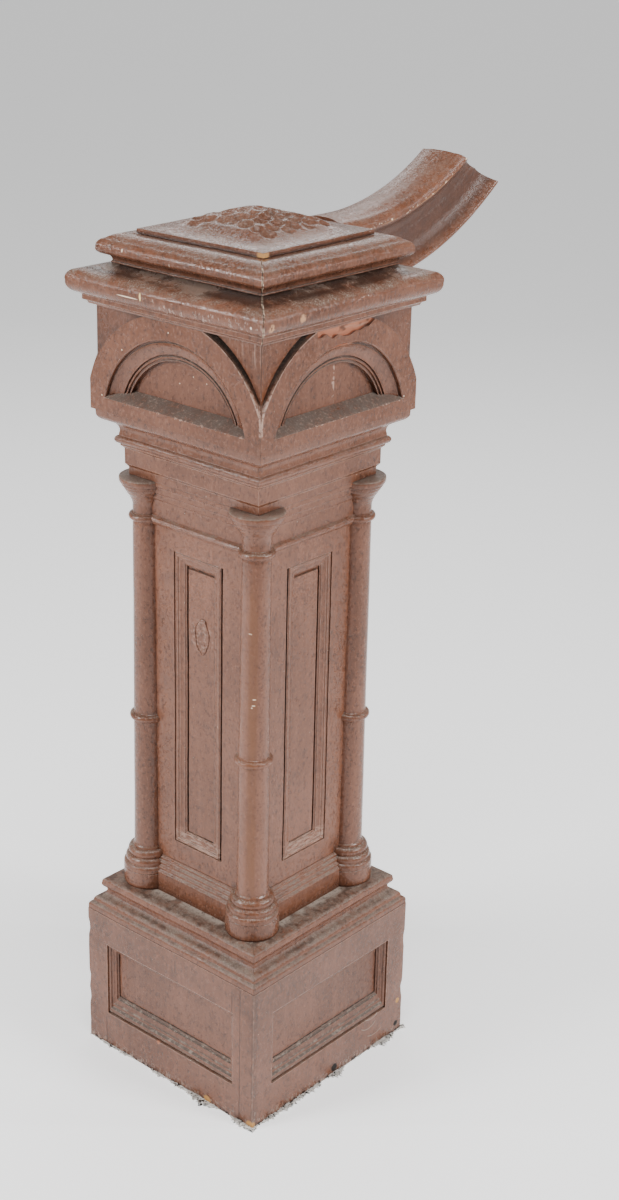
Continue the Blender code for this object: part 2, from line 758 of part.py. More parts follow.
corner_angle = math.acos(ARCH_HALF / EXTRADOS_RADIUS)
crown_angle = math.asin((ARCH_TOP - arch_centre) / EXTRADOS_RADIUS)
arc_steps = max(6, round(ARCH_SIDES * (crown_angle - corner_angle) / math.tau))
right_arc = arc_in_face(EXTRADOS_RADIUS, corner_angle, crown_angle, arc_steps)
left_arc = [(-across, up) for across, up in reversed(right_arc)]
board_outline = [(-ARCH_HALF, ARCH_FOOT), (ARCH_HALF, ARCH_FOOT)] + right_arc + left_arc
board = flat_mesh("arch_board", [board_outline], ARCH_BOARD_THICKNESS / 2)
upright = Matrix.Rotation(QUARTER_TURN, 4, "X")
board.transform(Matrix.Translation((0, -(ARCH_HALF + board_back) / 2, 0)) @ upright)
for side in (1, -1):
    mitre = Vector((side, 1, 0)).normalized()
    keep_side(board, mitre * (-CLEARANCE / math.sqrt(2.0)), mitre)

# Opening: radius and distance in from the board's face
cove_mid = (SECOND_RING_RADIUS + COVE_RADIUS) / 2
cove_fall = COVE_DEPTH - FIRST_STEP_DEPTH
opening_back = -ARCH_BOARD_THICKNESS - CUTTER_PROUD
opening_profile = [
    (0.0, CUTTER_PROUD),
    (OPENING_RADIUS, CUTTER_PROUD),
    (OPENING_RADIUS - RING_EASE, -FIRST_STEP_DEPTH),
    (SECOND_RING_RADIUS, -FIRST_STEP_DEPTH),
    (SECOND_RING_RADIUS - RING_EASE, -FIRST_STEP_DEPTH - cove_fall * 0.4),
    (cove_mid + RING_EASE, -COVE_DEPTH + cove_fall * 0.18),
    (COVE_RADIUS + RING_EASE * 2, -COVE_DEPTH),
    (COVE_RADIUS, -COVE_DEPTH),
    (COVE_RADIUS - RING_EASE, -(COVE_DEPTH + INNER_STEP_DEPTH) / 2),
    (INNER_RING_RADIUS + RING_EASE, -(COVE_DEPTH + INNER_STEP_DEPTH * 2) / 3),
    (INNER_RING_RADIUS, -INNER_STEP_DEPTH),
    (INNER_RING_RADIUS, opening_back),
    (0.0, opening_back),
]
opening = turned_mesh("arch_opening", opening_profile, ARCH_SIDES, math.pi / ARCH_SIDES)
opening.transform(Matrix.Translation((0, -ARCH_HALF, arch_centre)) @ upright)
sill_front = ARCH_FOOT + SILL_HEIGHT
sill_slope = Vector((0, SILL_RISE, -ARCH_BOARD_THICKNESS)).normalized()
keep_side(opening, (0, -ARCH_HALF, sill_front), sill_slope)
board_blank = add_cutter("arch_board_blank", board)
opening_cutter = add_cutter("arch_opening", opening)
combine(board_blank, opening_cutter, "DIFFERENCE")
arch_board = finished_mesh(board_blank, "arch_board")
boards = four_sides("arch_board", arch_board)

# Ragged strip broken out of the top of the right arch
ragged = []
for step in range(BREAK_STEPS + 1):
    share = step / BREAK_STEPS
    along = BREAK_START + (BREAK_END - BREAK_START) * share
    tooth = 1.0 - BREAK_TOOTH * (1.0 - math.sin(step * BREAK_BEAT))
    bite = BREAK_HEIGHT * tooth * math.sin(math.pi * min(1.0, share * 0.92 + 0.08))
    ragged.append((along, ARCH_TOP - bite))
break_outline = ragged + [(BREAK_END, ARCH_TOP + CUTTER_PROUD), (BREAK_START, ARCH_TOP + CUTTER_PROUD)]
break_mesh = flat_mesh("arch_break", [break_outline], BREAK_DEPTH)
break_mesh.transform(Matrix.Translation((0, -ARCH_HALF, 0)) @ upright)
break_cutter = add_cutter("arch_break", break_mesh, QUARTER_TURN)
combine(boards[1], break_cutter, "DIFFERENCE")

# Spandrel boards; the joints next to the front right corner stand open
block_back = tympanum_half + CLEARANCE


def spandrel_mesh(name, joint_foot, joint_top):
    spandrel_angle = math.acos(SPANDREL_HALF / (EXTRADOS_RADIUS + joint_foot))
    top_angle = math.asin((ARCH_TOP - arch_centre) / (EXTRADOS_RADIUS + joint_top))

    def widening(share):
        return joint_foot + (joint_top - joint_foot) * share

    edge = arc_in_face(EXTRADOS_RADIUS, spandrel_angle, top_angle, arc_steps - 1, widening)
    outline = [(SPANDREL_HALF, ARCH_TOP)] + list(reversed(edge))
    half_thickness = (SPANDREL_HALF - block_back) / 2
    mesh = flat_mesh(name, [outline], half_thickness)
    place = Matrix.Translation((0, -(SPANDREL_HALF + block_back) / 2, 0))
    mesh.transform(place @ upright)
    corner_mitre = Vector((1, 1, 0)).normalized()
    keep_side(mesh, corner_mitre * (-CLEARANCE / math.sqrt(2.0)), corner_mitre)
    return mesh


def mirrored(mesh, name):
    other = mesh.copy()
    other.name = name
    other.transform(Matrix.Scale(-1, 4, (1, 0, 0)))
    other.flip_normals()
    return other


tight = spandrel_mesh("spandrel_tight", CLEARANCE, CLEARANCE)
opened = spandrel_mesh("spandrel_open", OPEN_JOINT_FOOT, OPEN_JOINT_TOP)
tight_left = mirrored(tight, "spandrel_tight_left")
opened_left = mirrored(opened, "spandrel_open_left")
for index, side in enumerate(SIDES):
    toward_right = SIDES[(index + 1) % 4]
    toward_left = SIDES[(index - 1) % 4]
    turn = index * QUARTER_TURN
    right_board = opened if side == "front" else tight
    left_board = opened_left if side == "right" else tight_left
    add_piece(f"spandrel_{side}_{toward_right}", right_board, PAINT_BROWN, turn)
    add_piece(f"spandrel_{side}_{toward_left}", left_board, PAINT_BROWN, turn)

# Cornice with its bed, rounded nose and sloping top
cornice_out = CORNICE_NOSE_PROJECTION
cornice_outer = moulding(CORNICE_SHARES, SPANDREL_HALF, cornice_out, CORNICE_FOOT, CORNICE_HEIGHT)
cornice_outer.append((CAP_NECK_HALF, CORNICE_TOP))
cornice_outline = traced([(CORE_HALF, CORNICE_FOOT)] + cornice_outer + [(CORE_HALF, CORNICE_TOP)])
four_sides("cornice", mitred_strip("cornice", cornice_outline, PLINTH_WIDTH), PAINT_DUSTY)

# Cap moulding: fillet, cove, rounded nose and ovolo top
cap_outer = moulding(CAP_SHARES, CAP_NECK_HALF, CAP_NOSE_PROJECTION, CAP_FOOT, CAP_MOULDING_HEIGHT)
cap_outer.append((CORE_HALF + CAP_TOP_LEDGE, CAP_TOP))
cap_outline = traced([(CORE_HALF, CAP_FOOT)] + cap_outer + [(CORE_HALF, CAP_TOP)])
four_sides("cap_moulding", mitred_strip("cap_moulding", cap_outline, PLINTH_WIDTH))


def crown_height(across, along, half):
    # swept sides rising to a low crown, with round gouged hollows in staggered rows over its middle
    powers = abs(across) ** PLATE_SQUARENESS + abs(along) ** PLATE_SQUARENESS
    reach = powers ** (1 / PLATE_SQUARENESS) / half
    share = max(0.0, 1.0 - reach)
    sweep = PLATE_RISE * (1.0 - reach**1.3) * min(1.0, share * 2.6) ** 0.9 if share else 0.0
    row_pitch = GOUGE_PITCH * math.sqrt(3.0) / 2.0
    row = math.floor(along / row_pitch + 0.5)
    shift = 0.5 * GOUGE_PITCH * (row % 2)
    column = math.floor((across - shift) / GOUGE_PITCH + 0.5)
    from_centre = math.hypot(across - shift - column * GOUGE_PITCH, along - row * row_pitch)
    edge = max(abs(across), abs(along)) / GOUGED_HALF_WIDTH
    if edge < 1.0:
        sweep -= GOUGE_DEPTH * max(0.0, 1.0 - (from_centre / GOUGE_RADIUS) ** 2)
    return sweep


# Carved top plate
plate_half = PLATE_WIDTH / 2
rim_half = plate_half - PLATE_EDGE_LEAN
plate_work = bmesh.new()
bmesh.ops.create_grid(plate_work, x_segments=PLATE_CELLS, y_segments=PLATE_CELLS, size=rim_half)
sides_down = bmesh.ops.extrude_face_region(plate_work, geom=plate_work.faces[:])
lifted = [part for part in sides_down["geom"] if isinstance(part, bmesh.types.BMVert)]
for vertex in lifted:
    vertex.co.z = PLATE_RIM_HEIGHT + crown_height(vertex.co.x, vertex.co.y, rim_half)
low_faces = [item for item in plate_work.faces if all(abs(v.co.z) < WELD for v in item.verts)]
bmesh.ops.dissolve_faces(plate_work, faces=low_faces)
bmesh.ops.recalc_face_normals(plate_work, faces=plate_work.faces)
plate_mesh = bpy.data.meshes.new("cap_plate")
plate_work.to_mesh(plate_mesh)
plate_work.free()
plate_twist = Matrix.Rotation(math.radians(PLATE_TURN), 4, "Z")
plate_mesh.transform(Matrix.Translation((0, 0, PLATE_FOOT)) @ plate_twist)
add_piece("cap_plate", plate_mesh)

# Handrail: the section is (across, height over its foot), turned up about a level axis
rail_right = traced(moulding(RAIL_SHARES, 0.0, RAIL_WIDTH / 2, 0.0, RAIL_HEIGHT), RAIL_CURVE_STEPS)
rail_left = [(-across, up) for across, up in reversed(rail_right[:-1])]
rail_section = rail_right + rail_left
rail_base = ARCH_TOP - RAIL_FOOT_LEVEL
rail_start = CORE_HALF + RAIL_UNDER_CAP
rail_work = bmesh.new()
ring = [rail_work.verts.new((across, rail_start, rail_base + up)) for across, up in rail_section]
end_face = rail_work.faces.new(ring)
grown = bmesh.ops.extrude_face_region(rail_work, geom=[end_face])
front_verts = [part for part in grown["geom"] if isinstance(part, bmesh.types.BMVert)]
bmesh.ops.translate(rail_work, vec=(0, RAIL_TURN_START - rail_start, 0), verts=front_verts)
front_face = [part for part in grown["geom"] if isinstance(part, bmesh.types.BMFace)]
turn_radius = RAIL_INNER_RADIUS + RAIL_HEIGHT
turn_centre = Vector((0, RAIL_TURN_START, rail_base + turn_radius))
overrun = math.radians(RAIL_END_ANGLE + RAIL_CUT_LEAN * 0.5)
bmesh.ops.spin(
    rail_work,
    geom=front_face,
    cent=turn_centre,
    axis=(1, 0, 0),
    angle=overrun,
    steps=RAIL_STEPS,
    use_merge=False,
    use_duplicate=False,
)
bmesh.ops.remove_doubles(rail_work, verts=rail_work.verts, dist=WELD)
inner_faces = [item for item in rail_work.faces if all(len(edge.link_faces) > 2 for edge in item.edges)]
bmesh.ops.delete(rail_work, geom=inner_faces, context="FACES_ONLY")
bmesh.ops.recalc_face_normals(rail_work, faces=rail_work.faces)
rail_mesh = bpy.data.meshes.new("handrail")
rail_work.to_mesh(rail_mesh)
rail_work.free()
end_angle = math.radians(RAIL_END_ANGLE)
middle_radius = turn_radius - RAIL_HEIGHT / 2
cut_point = turn_centre + Vector((0, math.sin(end_angle), -math.cos(end_angle))) * middle_radius
cut_angle = math.radians(RAIL_END_ANGLE + RAIL_CUT_LEAN)
keep_side(rail_mesh, cut_point, Vector((0, math.cos(cut_angle), math.sin(cut_angle))))
handrail = add_piece("handrail", rail_mesh)

# Outline of the cornice and cap with their clearance, that the handrail is scribed to
nose_out, nose_level = cornice_outer[CORNICE_NOSE_POINT][:2]
scribe = set_off(traced(cornice_outer[CORNICE_NOSE_POINT:] + cap_outer), CLEARANCE)
scribe_low = [(0.0, DECK), (nose_out + CLEARANCE, DECK), (nose_out + CLEARANCE, nose_level)]
scribe_height = ARCH_TOP + RAIL_HEIGHT * 2
scribe_top = [(CORE_HALF + CAP_TOP_LEDGE + CLEARANCE, scribe_height), (0.0, scribe_height)]
scribe_profile = list(reversed(scribe_low + scribe[1:] + scribe_top))
combine(handrail, add_cutter("scribe", square_mesh("scribe", scribe_profile)), "DIFFERENCE")
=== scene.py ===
import math
from contextlib import contextmanager

import bmesh
import bpy
from mathutils import Matrix, Vector, noise
from mathutils.bvhtree import BVHTree


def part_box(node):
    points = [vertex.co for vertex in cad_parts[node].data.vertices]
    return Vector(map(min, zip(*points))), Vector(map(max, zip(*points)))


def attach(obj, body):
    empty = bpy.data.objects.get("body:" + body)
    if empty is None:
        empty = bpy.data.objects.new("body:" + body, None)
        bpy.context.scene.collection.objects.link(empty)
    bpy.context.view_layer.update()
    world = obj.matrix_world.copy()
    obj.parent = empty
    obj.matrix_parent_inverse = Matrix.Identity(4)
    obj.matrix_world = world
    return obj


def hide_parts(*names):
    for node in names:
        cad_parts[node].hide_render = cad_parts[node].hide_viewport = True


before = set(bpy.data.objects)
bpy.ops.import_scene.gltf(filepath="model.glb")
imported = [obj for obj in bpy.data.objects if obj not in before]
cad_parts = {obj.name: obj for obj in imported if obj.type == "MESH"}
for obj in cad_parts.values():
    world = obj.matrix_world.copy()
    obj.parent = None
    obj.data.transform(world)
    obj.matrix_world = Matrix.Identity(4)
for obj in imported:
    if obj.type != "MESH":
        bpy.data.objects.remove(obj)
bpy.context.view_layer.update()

# The noise that wears the surfaces is the same in every run
noise.seed_set(11)

BODY = "root"
SIDES = ("front", "right", "back", "left")
CORNERS = ("front_right", "back_right", "back_left", "front_left")
QUARTER = math.pi / 2

# Levels and half widths of the post, read from the solids
PLINTH_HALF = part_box("plinth")[1].x
PLINTH_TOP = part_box("plinth")[1].z
BASE_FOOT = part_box("base_moulding_front")[0].z
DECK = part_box("base_moulding_front")[1].z
SHAFT_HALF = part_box("shaft")[1].x
SHAFT_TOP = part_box("shaft")[1].z
FASCIA_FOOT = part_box("fascia")[0].z
FASCIA_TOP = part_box("fascia")[1].z
FASCIA_LIP_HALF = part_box("fascia")[1].x
BED_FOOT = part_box("bed_moulding_front")[0].z
BED_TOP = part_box("bed_moulding_front")[1].z
ARCH_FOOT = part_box("arch_board_front")[0].z
ARCH_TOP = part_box("arch_board_front")[1].z
ARCH_HALF = -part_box("arch_board_front")[0].y
BOARD_BACK = -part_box("arch_board_front")[1].y
SPANDREL_HALF = -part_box("spandrel_front_right")[0].y
SPANDREL_BACK = -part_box("spandrel_front_right")[1].y
CORNICE_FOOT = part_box("cornice_front")[0].z
CORNICE_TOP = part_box("cornice_front")[1].z
CORNICE_HALF = -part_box("cornice_front")[0].y
CORE_HALF = -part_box("cornice_front")[1].y
CAP_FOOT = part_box("cap_moulding_front")[0].z
CAP_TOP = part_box("cap_moulding_front")[1].z
CAP_HALF = -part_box("cap_moulding_front")[0].y
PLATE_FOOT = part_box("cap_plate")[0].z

# Sizes of the details, in metres
JOINT = 0.00012
OPEN_MITRE = 0.00025
PLINTH_PANEL = (0.114, 0.051, 0.157)
PLINTH_PANEL_DEPTH = 0.014
PLINTH_FIELD_DEPTH = 0.012
PLINTH_MOULDING_WIDTH = 0.0115
PLINTH_SILL_WIDTH = 0.026
PLINTH_SLIT = -0.0002
CLOSE_FIT = -0.0002
PLINTH_SETBACK = 0.0018
SHAFT_PANEL = (0.041, 0.321, 0.718)
SHAFT_PANEL_DEPTH = 0.009
SHAFT_FIELD_DEPTH = 0.0055
SHAFT_MOULDING_WIDTH = 0.0160
SHAFT_SLIT = 0.0020
SHAFT_FRAME_SHIFT = -0.0021
SHAFT_FIELD_SLIT = 0.0011
SHAFT_FIELD_SHIFT = 0.0008
SHAFT_SETBACK = 0.0006
BASE_NECK_SETBACK = 0.0185
SKIRT_THICKNESS = 0.011
SKIRT_HEIGHT = 0.025
FOOT_MOULDING_HEIGHT = 0.047
FOOT_STEPS = 4
FRIEZE_THICKNESS = 0.0025
ASTRAGAL_HEIGHT = 0.012
ASTRAGAL_PROJECTION = 0.0015
BED_STEPS = 3
BED_STEPS_HEIGHT = 0.027
BED_STEP_THICKNESS = 0.0026
FASCIA_LIP = 0.0035
FASCIA_NECK = 0.0034
DRUM_RADIUS = 0.0343
COLUMN_RADIUS = 0.0203
COLUMN_TOP_RADIUS = 0.0176
NECK_RADIUS = 0.0173
MIDDLE_RING = 0.239
UPPER_RING_DROP = 0.0515
EXTRADOS_RADIUS = 0.145
CROWN_OVERRUN = 0.008
OPENING_RADIUS = 0.1165
SILL_HEIGHT = 0.017
SILL_RISE = 0.011
OPEN_JOINT_TOP = 0.0048
OPEN_JOINT_FOOT = 0.0012
CAP_NECK_HALF = 0.11725
PLATE_HALF = 0.0963
PLATE_RIM = 0.006
PLATE_RISE = 0.0252
PLATE_TURN = 1.2
GOUGE_PITCH = 0.0178
GOUGE_RADIUS = 0.0103
GOUGE_DEPTH = 0.0046
GOUGED_HALF = 0.060
GOUGE_JITTER = 0.0085
RAIL_WIDTH = 0.070
RAIL_HEIGHT = 0.0880
RAIL_INNER_RADIUS = 0.3465
RAIL_TURN_START = 0.1513
RAIL_FOOT_DROP = 0.0013
RAIL_END_ANGLE = 36.5
RAIL_CUT_LEAN = 25.0

# How far round each point its shelter is felt
SHELTER_REACH = 0.03
SHELTER_NEAR = 0.009
FAR_SHELTER = 0.28
SHELTER_START = 0.0008

# Points closer than this are one, and long runs are sliced this far apart
MERGE = 1e-6
SLICE = 0.012

# How far age has moved the surfaces, over a span and over a thumb's width
WANDER = 0.0006
RIPPLE = 0.00018

# Roundings of the edges
PANEL_EDGE = 0.0003
MOULDING_EDGE = 0.0004
BOARD_EDGE = 0.00045
CORNICE_EDGE = 0.0005
SHAFT_EDGE = 0.0006
FOOT_EDGE = 0.0011

# Wear and damage
DENT_REACH = 0.016
DENT_DEPTH = 0.0032
FRAY_BAND = 0.004
FRAY_HEIGHT = 0.007
FRAY_DEPTH = 0.0035
DIRT_HEIGHT = 0.0024
FRINGE_REACH = 0.0092
FRINGE_LIFT = 0.0065
SHIELD_HALF_WIDTH = 0.0115
SHIELD_HALF_HEIGHT = 0.0215
SHIELD_LEVEL = 0.617
RIDGE_RELIEF = 0.0110
BREAK_START = -0.046
BREAK_END = 0.058
BREAK_DEPTH = 0.0160
BREAK_THICKNESS = 0.0045

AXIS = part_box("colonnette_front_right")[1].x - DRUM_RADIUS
ARCH_CENTRE = ARCH_TOP + CROWN_OVERRUN - EXTRADOS_RADIUS

# Moulding outlines from the foot up, as shares of projection and height.
# A third number bulges the next run.
BASE_SHARES = (
    (0.968, 0.000), (0.957, 0.067, 0.16), (0.757, 0.235), (0.703, 0.250, 0.20), (0.270, 0.436, -0.17),
    (0.000, 0.638), (0.032, 0.671, 0.22), (0.243, 0.872, 0.20), (-0.016, 1.000),
)
BED_SHARES = (
    (0.020, 0.000, 0.42), (0.050, 0.238), (0.050, 0.288, -0.22), (0.337, 0.622), (0.354, 0.657, 0.18),
    (0.835, 0.817), (0.852, 1.000),
)
CORNICE_SHARES = (
    (0.270, 0.000, -0.16), (0.424, 0.089), (0.471, 0.105), (0.471, 0.222), (0.588, 0.264, 0.20),
    (1.000, 0.559, 0.22), (0.667, 0.842),
)
CAP_SHARES = (
    (0.087, 0.000), (0.087, 0.065), (0.000, 0.074, -0.24), (0.760, 0.318), (0.797, 0.338, 0.17),
    (1.000, 0.515, 0.20), (0.384, 0.838, 0.10),
)
RAIL_SHARES = (
    (0.929, 0.000, 0.25), (0.971, 0.077), (0.886, 0.097, -0.17), (0.657, 0.455, -0.17), (0.886, 0.773),
    (0.920, 0.813), (0.971, 0.822, 0.25), (0.620, 0.966, 0.06), (0.000, 1.000),
)
# Panel moulding from its outer edge to its lip, as shares of width and thickness
PANEL_SHARES = (
    (0.00, 0.86, 0.20), (0.12, 1.00, 0.12), (0.30, 0.93), (0.40, 0.70, -0.14), (0.62, 0.58),
    (0.86, 0.50, 0.20), (1.00, 0.28),
)

# How far the best kept paint is taken towards a gloss
GLOSS = 0.7

dressed = []


def select_only(piece):
    bpy.ops.object.select_all(action="DESELECT")
    piece.select_set(True)
    bpy.context.view_layer.objects.active = piece


@contextmanager
def edit(piece, kind="FACE"):
    select_only(piece)
    bpy.ops.object.mode_set(mode="EDIT")
    bpy.ops.mesh.select_mode(type=kind)
    bpy.ops.mesh.select_all(action="SELECT")
    yield
    bpy.ops.object.mode_set(mode="OBJECT")


def pick(piece, kind, wanted):
    # selects the faces, edges or vertices of the piece in edit mode that pass the test
    bpy.ops.mesh.select_all(action="DESELECT")
    mesh = bmesh.from_edit_mesh(piece.data)
    for item in getattr(mesh, kind):
        if wanted(item):
            item.select_set(True)
    bmesh.update_edit_mesh(piece.data)


def taken(name):
    piece = bpy.context.active_object
    piece.name = name
    piece.data.name = name
    return piece


def fresh(name, add, **settings):
    # a new primitive, with nothing else selected
    bpy.ops.object.select_all(action="DESELECT")
    add(**settings)
    return taken(name)


def apply_place():
    bpy.ops.object.transform_apply(location=True, rotation=True, scale=True)


def extruded(by):
    bpy.ops.mesh.extrude_region_move(TRANSFORM_OT_translate={"value": by})


def at_points(piece, points):
    for vertex, point in zip(piece.data.vertices, points):
        vertex.co = point


def tidied(piece):
    with edit(piece, "VERT"):
        bpy.ops.mesh.remove_doubles(threshold=MERGE)
        bpy.ops.mesh.select_all(action="SELECT")
        bpy.ops.mesh.normals_make_consistent(inside=False)
    return piece


def changed(piece, kind, **settings):
    select_only(piece)
    modifier = piece.modifiers.new(kind.lower(), kind)
    for name, value in settings.items():
        setattr(modifier, name, value)
    bpy.ops.object.modifier_apply(modifier=modifier.name)
    return piece


def cut_by(piece, cutter):
    return changed(piece, "BOOLEAN", object=cutter, operation="DIFFERENCE", solver="EXACT")


def cut_with(piece, cutter):
    # as above, but the cutter is used up
    tidied(cut_by(piece, cutter))
    bpy.data.objects.remove(cutter)
    return piece


def cut_off(piece, point, normal):
    settings = {"use_fill": True, "clear_outer": True, "threshold": MERGE}
    with edit(piece):
        bpy.ops.mesh.bisect(plane_co=point, plane_no=normal, **settings)
    return tidied(piece)


def sliced(piece, direction, first, last, pitch=SLICE):
    count = max(1, round((last - first) / pitch))
    with edit(piece):
        for step in range(count + 1):
            place = Vector(direction) * (first + (last - first) * step / count)
            bpy.ops.mesh.select_all(action="SELECT")
            bpy.ops.mesh.bisect(plane_co=place, plane_no=direction, threshold=MERGE)
    return piece


def sliced_square(piece, reach, pitch=SLICE):
    # slices across both level directions
    for axis in ((1, 0, 0), (0, 1, 0)):
        sliced(piece, axis, -reach, reach, pitch)
    return piece


def mitred(piece, gap, sides=(1, -1)):
    # cuts the ends on the lines from the post's axis to its corners
    for side in sides:
        normal = Vector((side, 1, 0)).normalized()
        cut_off(piece, normal * -gap, normal)
    return piece


def copied(piece, name, turn=0.0, mirror=False):
    select_only(piece)
    bpy.ops.object.duplicate()
    other = taken(name)
    other.rotation_euler.z = turn
    if mirror:
        other.scale.x = -1.0
    apply_place()
    return tidied(other) if mirror else other


def removed(piece):
    bpy.data.objects.remove(piece)


def arc_points(start, end, bulge, steps):
    a = Vector(start)
    b = Vector(end)
    chord = b - a
    outward = Vector((chord.y, -chord.x)).normalized()
    spread = 4.0 * math.atan(2.0 * abs(bulge))
    radius = chord.length / (2.0 * math.sin(spread / 2.0))
    side = math.copysign(1.0, bulge)
    centre = (a + b) / 2.0 - outward * side * radius * math.cos(spread / 2.0)
    return [
        tuple(centre + Matrix.Rotation(spread * side * step / steps, 2) @ (a - centre))
        for step in range(1, steps)
    ]


def traced(corners, steps=7):
    points = []
    for corner, following in zip(corners, corners[1:] + corners[:1]):
        points.append((corner[0], corner[1]))
        if len(corner) == 3:
            points.extend(arc_points(corner[:2], following[:2], corner[2], steps))
    return points


def moulding(shares, out, projection, foot, height):
    return [(out + share[0] * projection, foot + share[1] * height) + share[2:] for share in shares]


def drawn_out(name, points, along):
    # a flat face through the points, pulled out into a solid
    circle = bpy.ops.mesh.primitive_circle_add
    piece = fresh(name, circle, vertices=len(points), radius=0.1, fill_type="NGON")
    at_points(piece, points)
    with edit(piece):
        extruded(along)
    return tidied(piece)


def box(name, low, high):
    centre = (Vector(low) + Vector(high)) / 2.0
    piece = fresh(name, bpy.ops.mesh.primitive_cube_add, size=1.0, location=centre)
    piece.scale = Vector(high) - Vector(low)
    apply_place()
    return piece


def turned(name, profile, steps, centre=(0.0, 0.0, 0.0), axis=(0.0, 0.0, 1.0), place=None):
    # the profile is (radius, height), from the axis out and back to the axis
    place = place or (lambda radius, height: (centre[0] + radius, centre[1], height))
    circle = bpy.ops.mesh.primitive_circle_add
    piece = fresh(name, circle, vertices=len(profile), radius=0.1, fill_type="NOTHING")
    at_points(piece, [place(radius, height) for radius, height in profile])
    with edit(piece, "EDGE"):
        bpy.ops.mesh.spin(steps=steps, angle=math.tau, center=centre, axis=axis)
        bpy.ops.mesh.select_all(action="SELECT")
        bpy.ops.mesh.remove_doubles(threshold=MERGE)
        bpy.ops.mesh.select_all(action="SELECT")
        bpy.ops.mesh.delete_loose(use_verts=True, use_edges=True, use_faces=False)
    return tidied(piece)


def stacked(name, profile):
    # a square shape built up level by level; the profile is (half width, height) from the foot up
    half, level = profile[0]
    piece = fresh(name, bpy.ops.mesh.primitive_plane_add, size=2.0 * half, location=(0.0, 0.0, level))
    apply_place()
    with edit(piece):
        for wide, high in profile[1:]:
            extruded((0.0, 0.0, high - level))
            ratio = wide / half
            bpy.ops.transform.resize(value=(ratio, ratio, 1.0), center_override=(0.0, 0.0, high))
            half, level = wide, high
    return tidied(piece)


def rounded(piece, width=MOULDING_EDGE, segments=2, angle=38.0):
    # rounds the sharp edges and marks the narrow faces that the rounding adds
    piece.data.materials.clear()
    piece.data.materials.append(None)
    piece.data.materials.append(None)
    changed(
        piece,
        "BEVEL",
        width=width,
        segments=segments,
        limit_method="ANGLE",
        angle_limit=math.radians(angle),
        material=1,
        use_clamp_overlap=True,
    )
    mark = piece.data.attributes.new("rounded_edge", "FLOAT", "FACE")
    for face, value in zip(piece.data.polygons, mark.data):
        value.value = float(face.material_index)
        face.material_index = 0
    piece.data.materials.pop()
    return piece


def settled(piece):
    # age and many coats of paint leave nothing quite straight
    for vertex in piece.data.vertices:
        point = vertex.co.copy()
        shift = noise.noise_vector(point * 8.0) * WANDER + noise.noise_vector(point * 60.0) * RIPPLE
        vertex.co = point + shift
        vertex.co.z = max(vertex.co.z, 0.0)
    return piece


def smoothed(piece, angle=32.0):
    select_only(piece)
    bpy.ops.object.shade_smooth_by_angle(angle=math.radians(angle))
    changed(piece, "WEIGHTED_NORMAL", keep_sharp=True, weight=80)
    return piece


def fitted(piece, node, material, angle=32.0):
    settled(piece)
    smoothed(piece, angle)
    piece.data.materials.clear()
    piece.data.materials.append(material)
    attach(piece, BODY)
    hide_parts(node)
    dressed.append(piece)
    return piece


def sheltered_marks():
    # how much of the open air round each point its neighbours take up
    points = []
    faces = []
    for piece in dressed:
        first = len(points)
        points.extend(vertex.co for vertex in piece.data.vertices)
        faces.extend([first + index for index in face.vertices] for face in piece.data.polygons)
    tree = BVHTree.FromPolygons(points, faces)
    rays = [Vector((0.0, 0.0, 1.0))]
    for lean, count in ((0.55, 5), (1.15, 6)):
        for step in range(count):
            turn = math.tau * (step + lean) / count
            flat = math.sin(lean)
            rays.append(Vector((flat * math.cos(turn), flat * math.sin(turn), math.cos(lean))))
    for piece in dressed:
        mark = piece.data.attributes.new("sheltered", "FLOAT", "POINT")
        for vertex, value in zip(piece.data.vertices, mark.data):
            outward = vertex.normal
            turn = outward.to_track_quat("Z", "Y")
            start = vertex.co + outward * SHELTER_START
            total = 0.0
            for ray in rays:
                distance = tree.ray_cast(start, turn @ ray, SHELTER_REACH)[3]
                if distance is not None:
                    total += 1.0 if distance < SHELTER_NEAR else FAR_SHELTER
            value.value = total / len(rays)


def on_four_sides(piece, name, material, mirrored=False):
    # the piece of the front face, then its copies round the post
    source = copied(piece, f"{name}_mirrored", mirror=True) if mirrored else piece
    right = copied(source, f"{name}_right_face", QUARTER)
    back = copied(piece, f"{name}_back_face", QUARTER * 2)
    left = copied(source, f"{name}_left_face", QUARTER * 3)
    if mirrored:
        removed(source)
    for side, each in zip(SIDES, (piece, right, back, left)):
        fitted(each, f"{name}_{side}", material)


def moulded(name, corners, inner, half_run, material, width=MOULDING_EDGE, gap=JOINT):
    # a moulding that runs round the post, mitred at the corners and flat at its back
    outline = traced([(inner, corners[0][1])] + corners + [(inner, corners[-1][1])])
    points = [(-half_run, -out, up) for out, up in outline]
    piece = mitred(drawn_out(f"{name}_front_face", points, (2.0 * half_run, 0.0, 0.0)), gap)
    reach = half_run * 0.92
    sliced(piece, (1, 0, 0), -reach, reach)
    on_four_sides(rounded(piece, width), name, material)


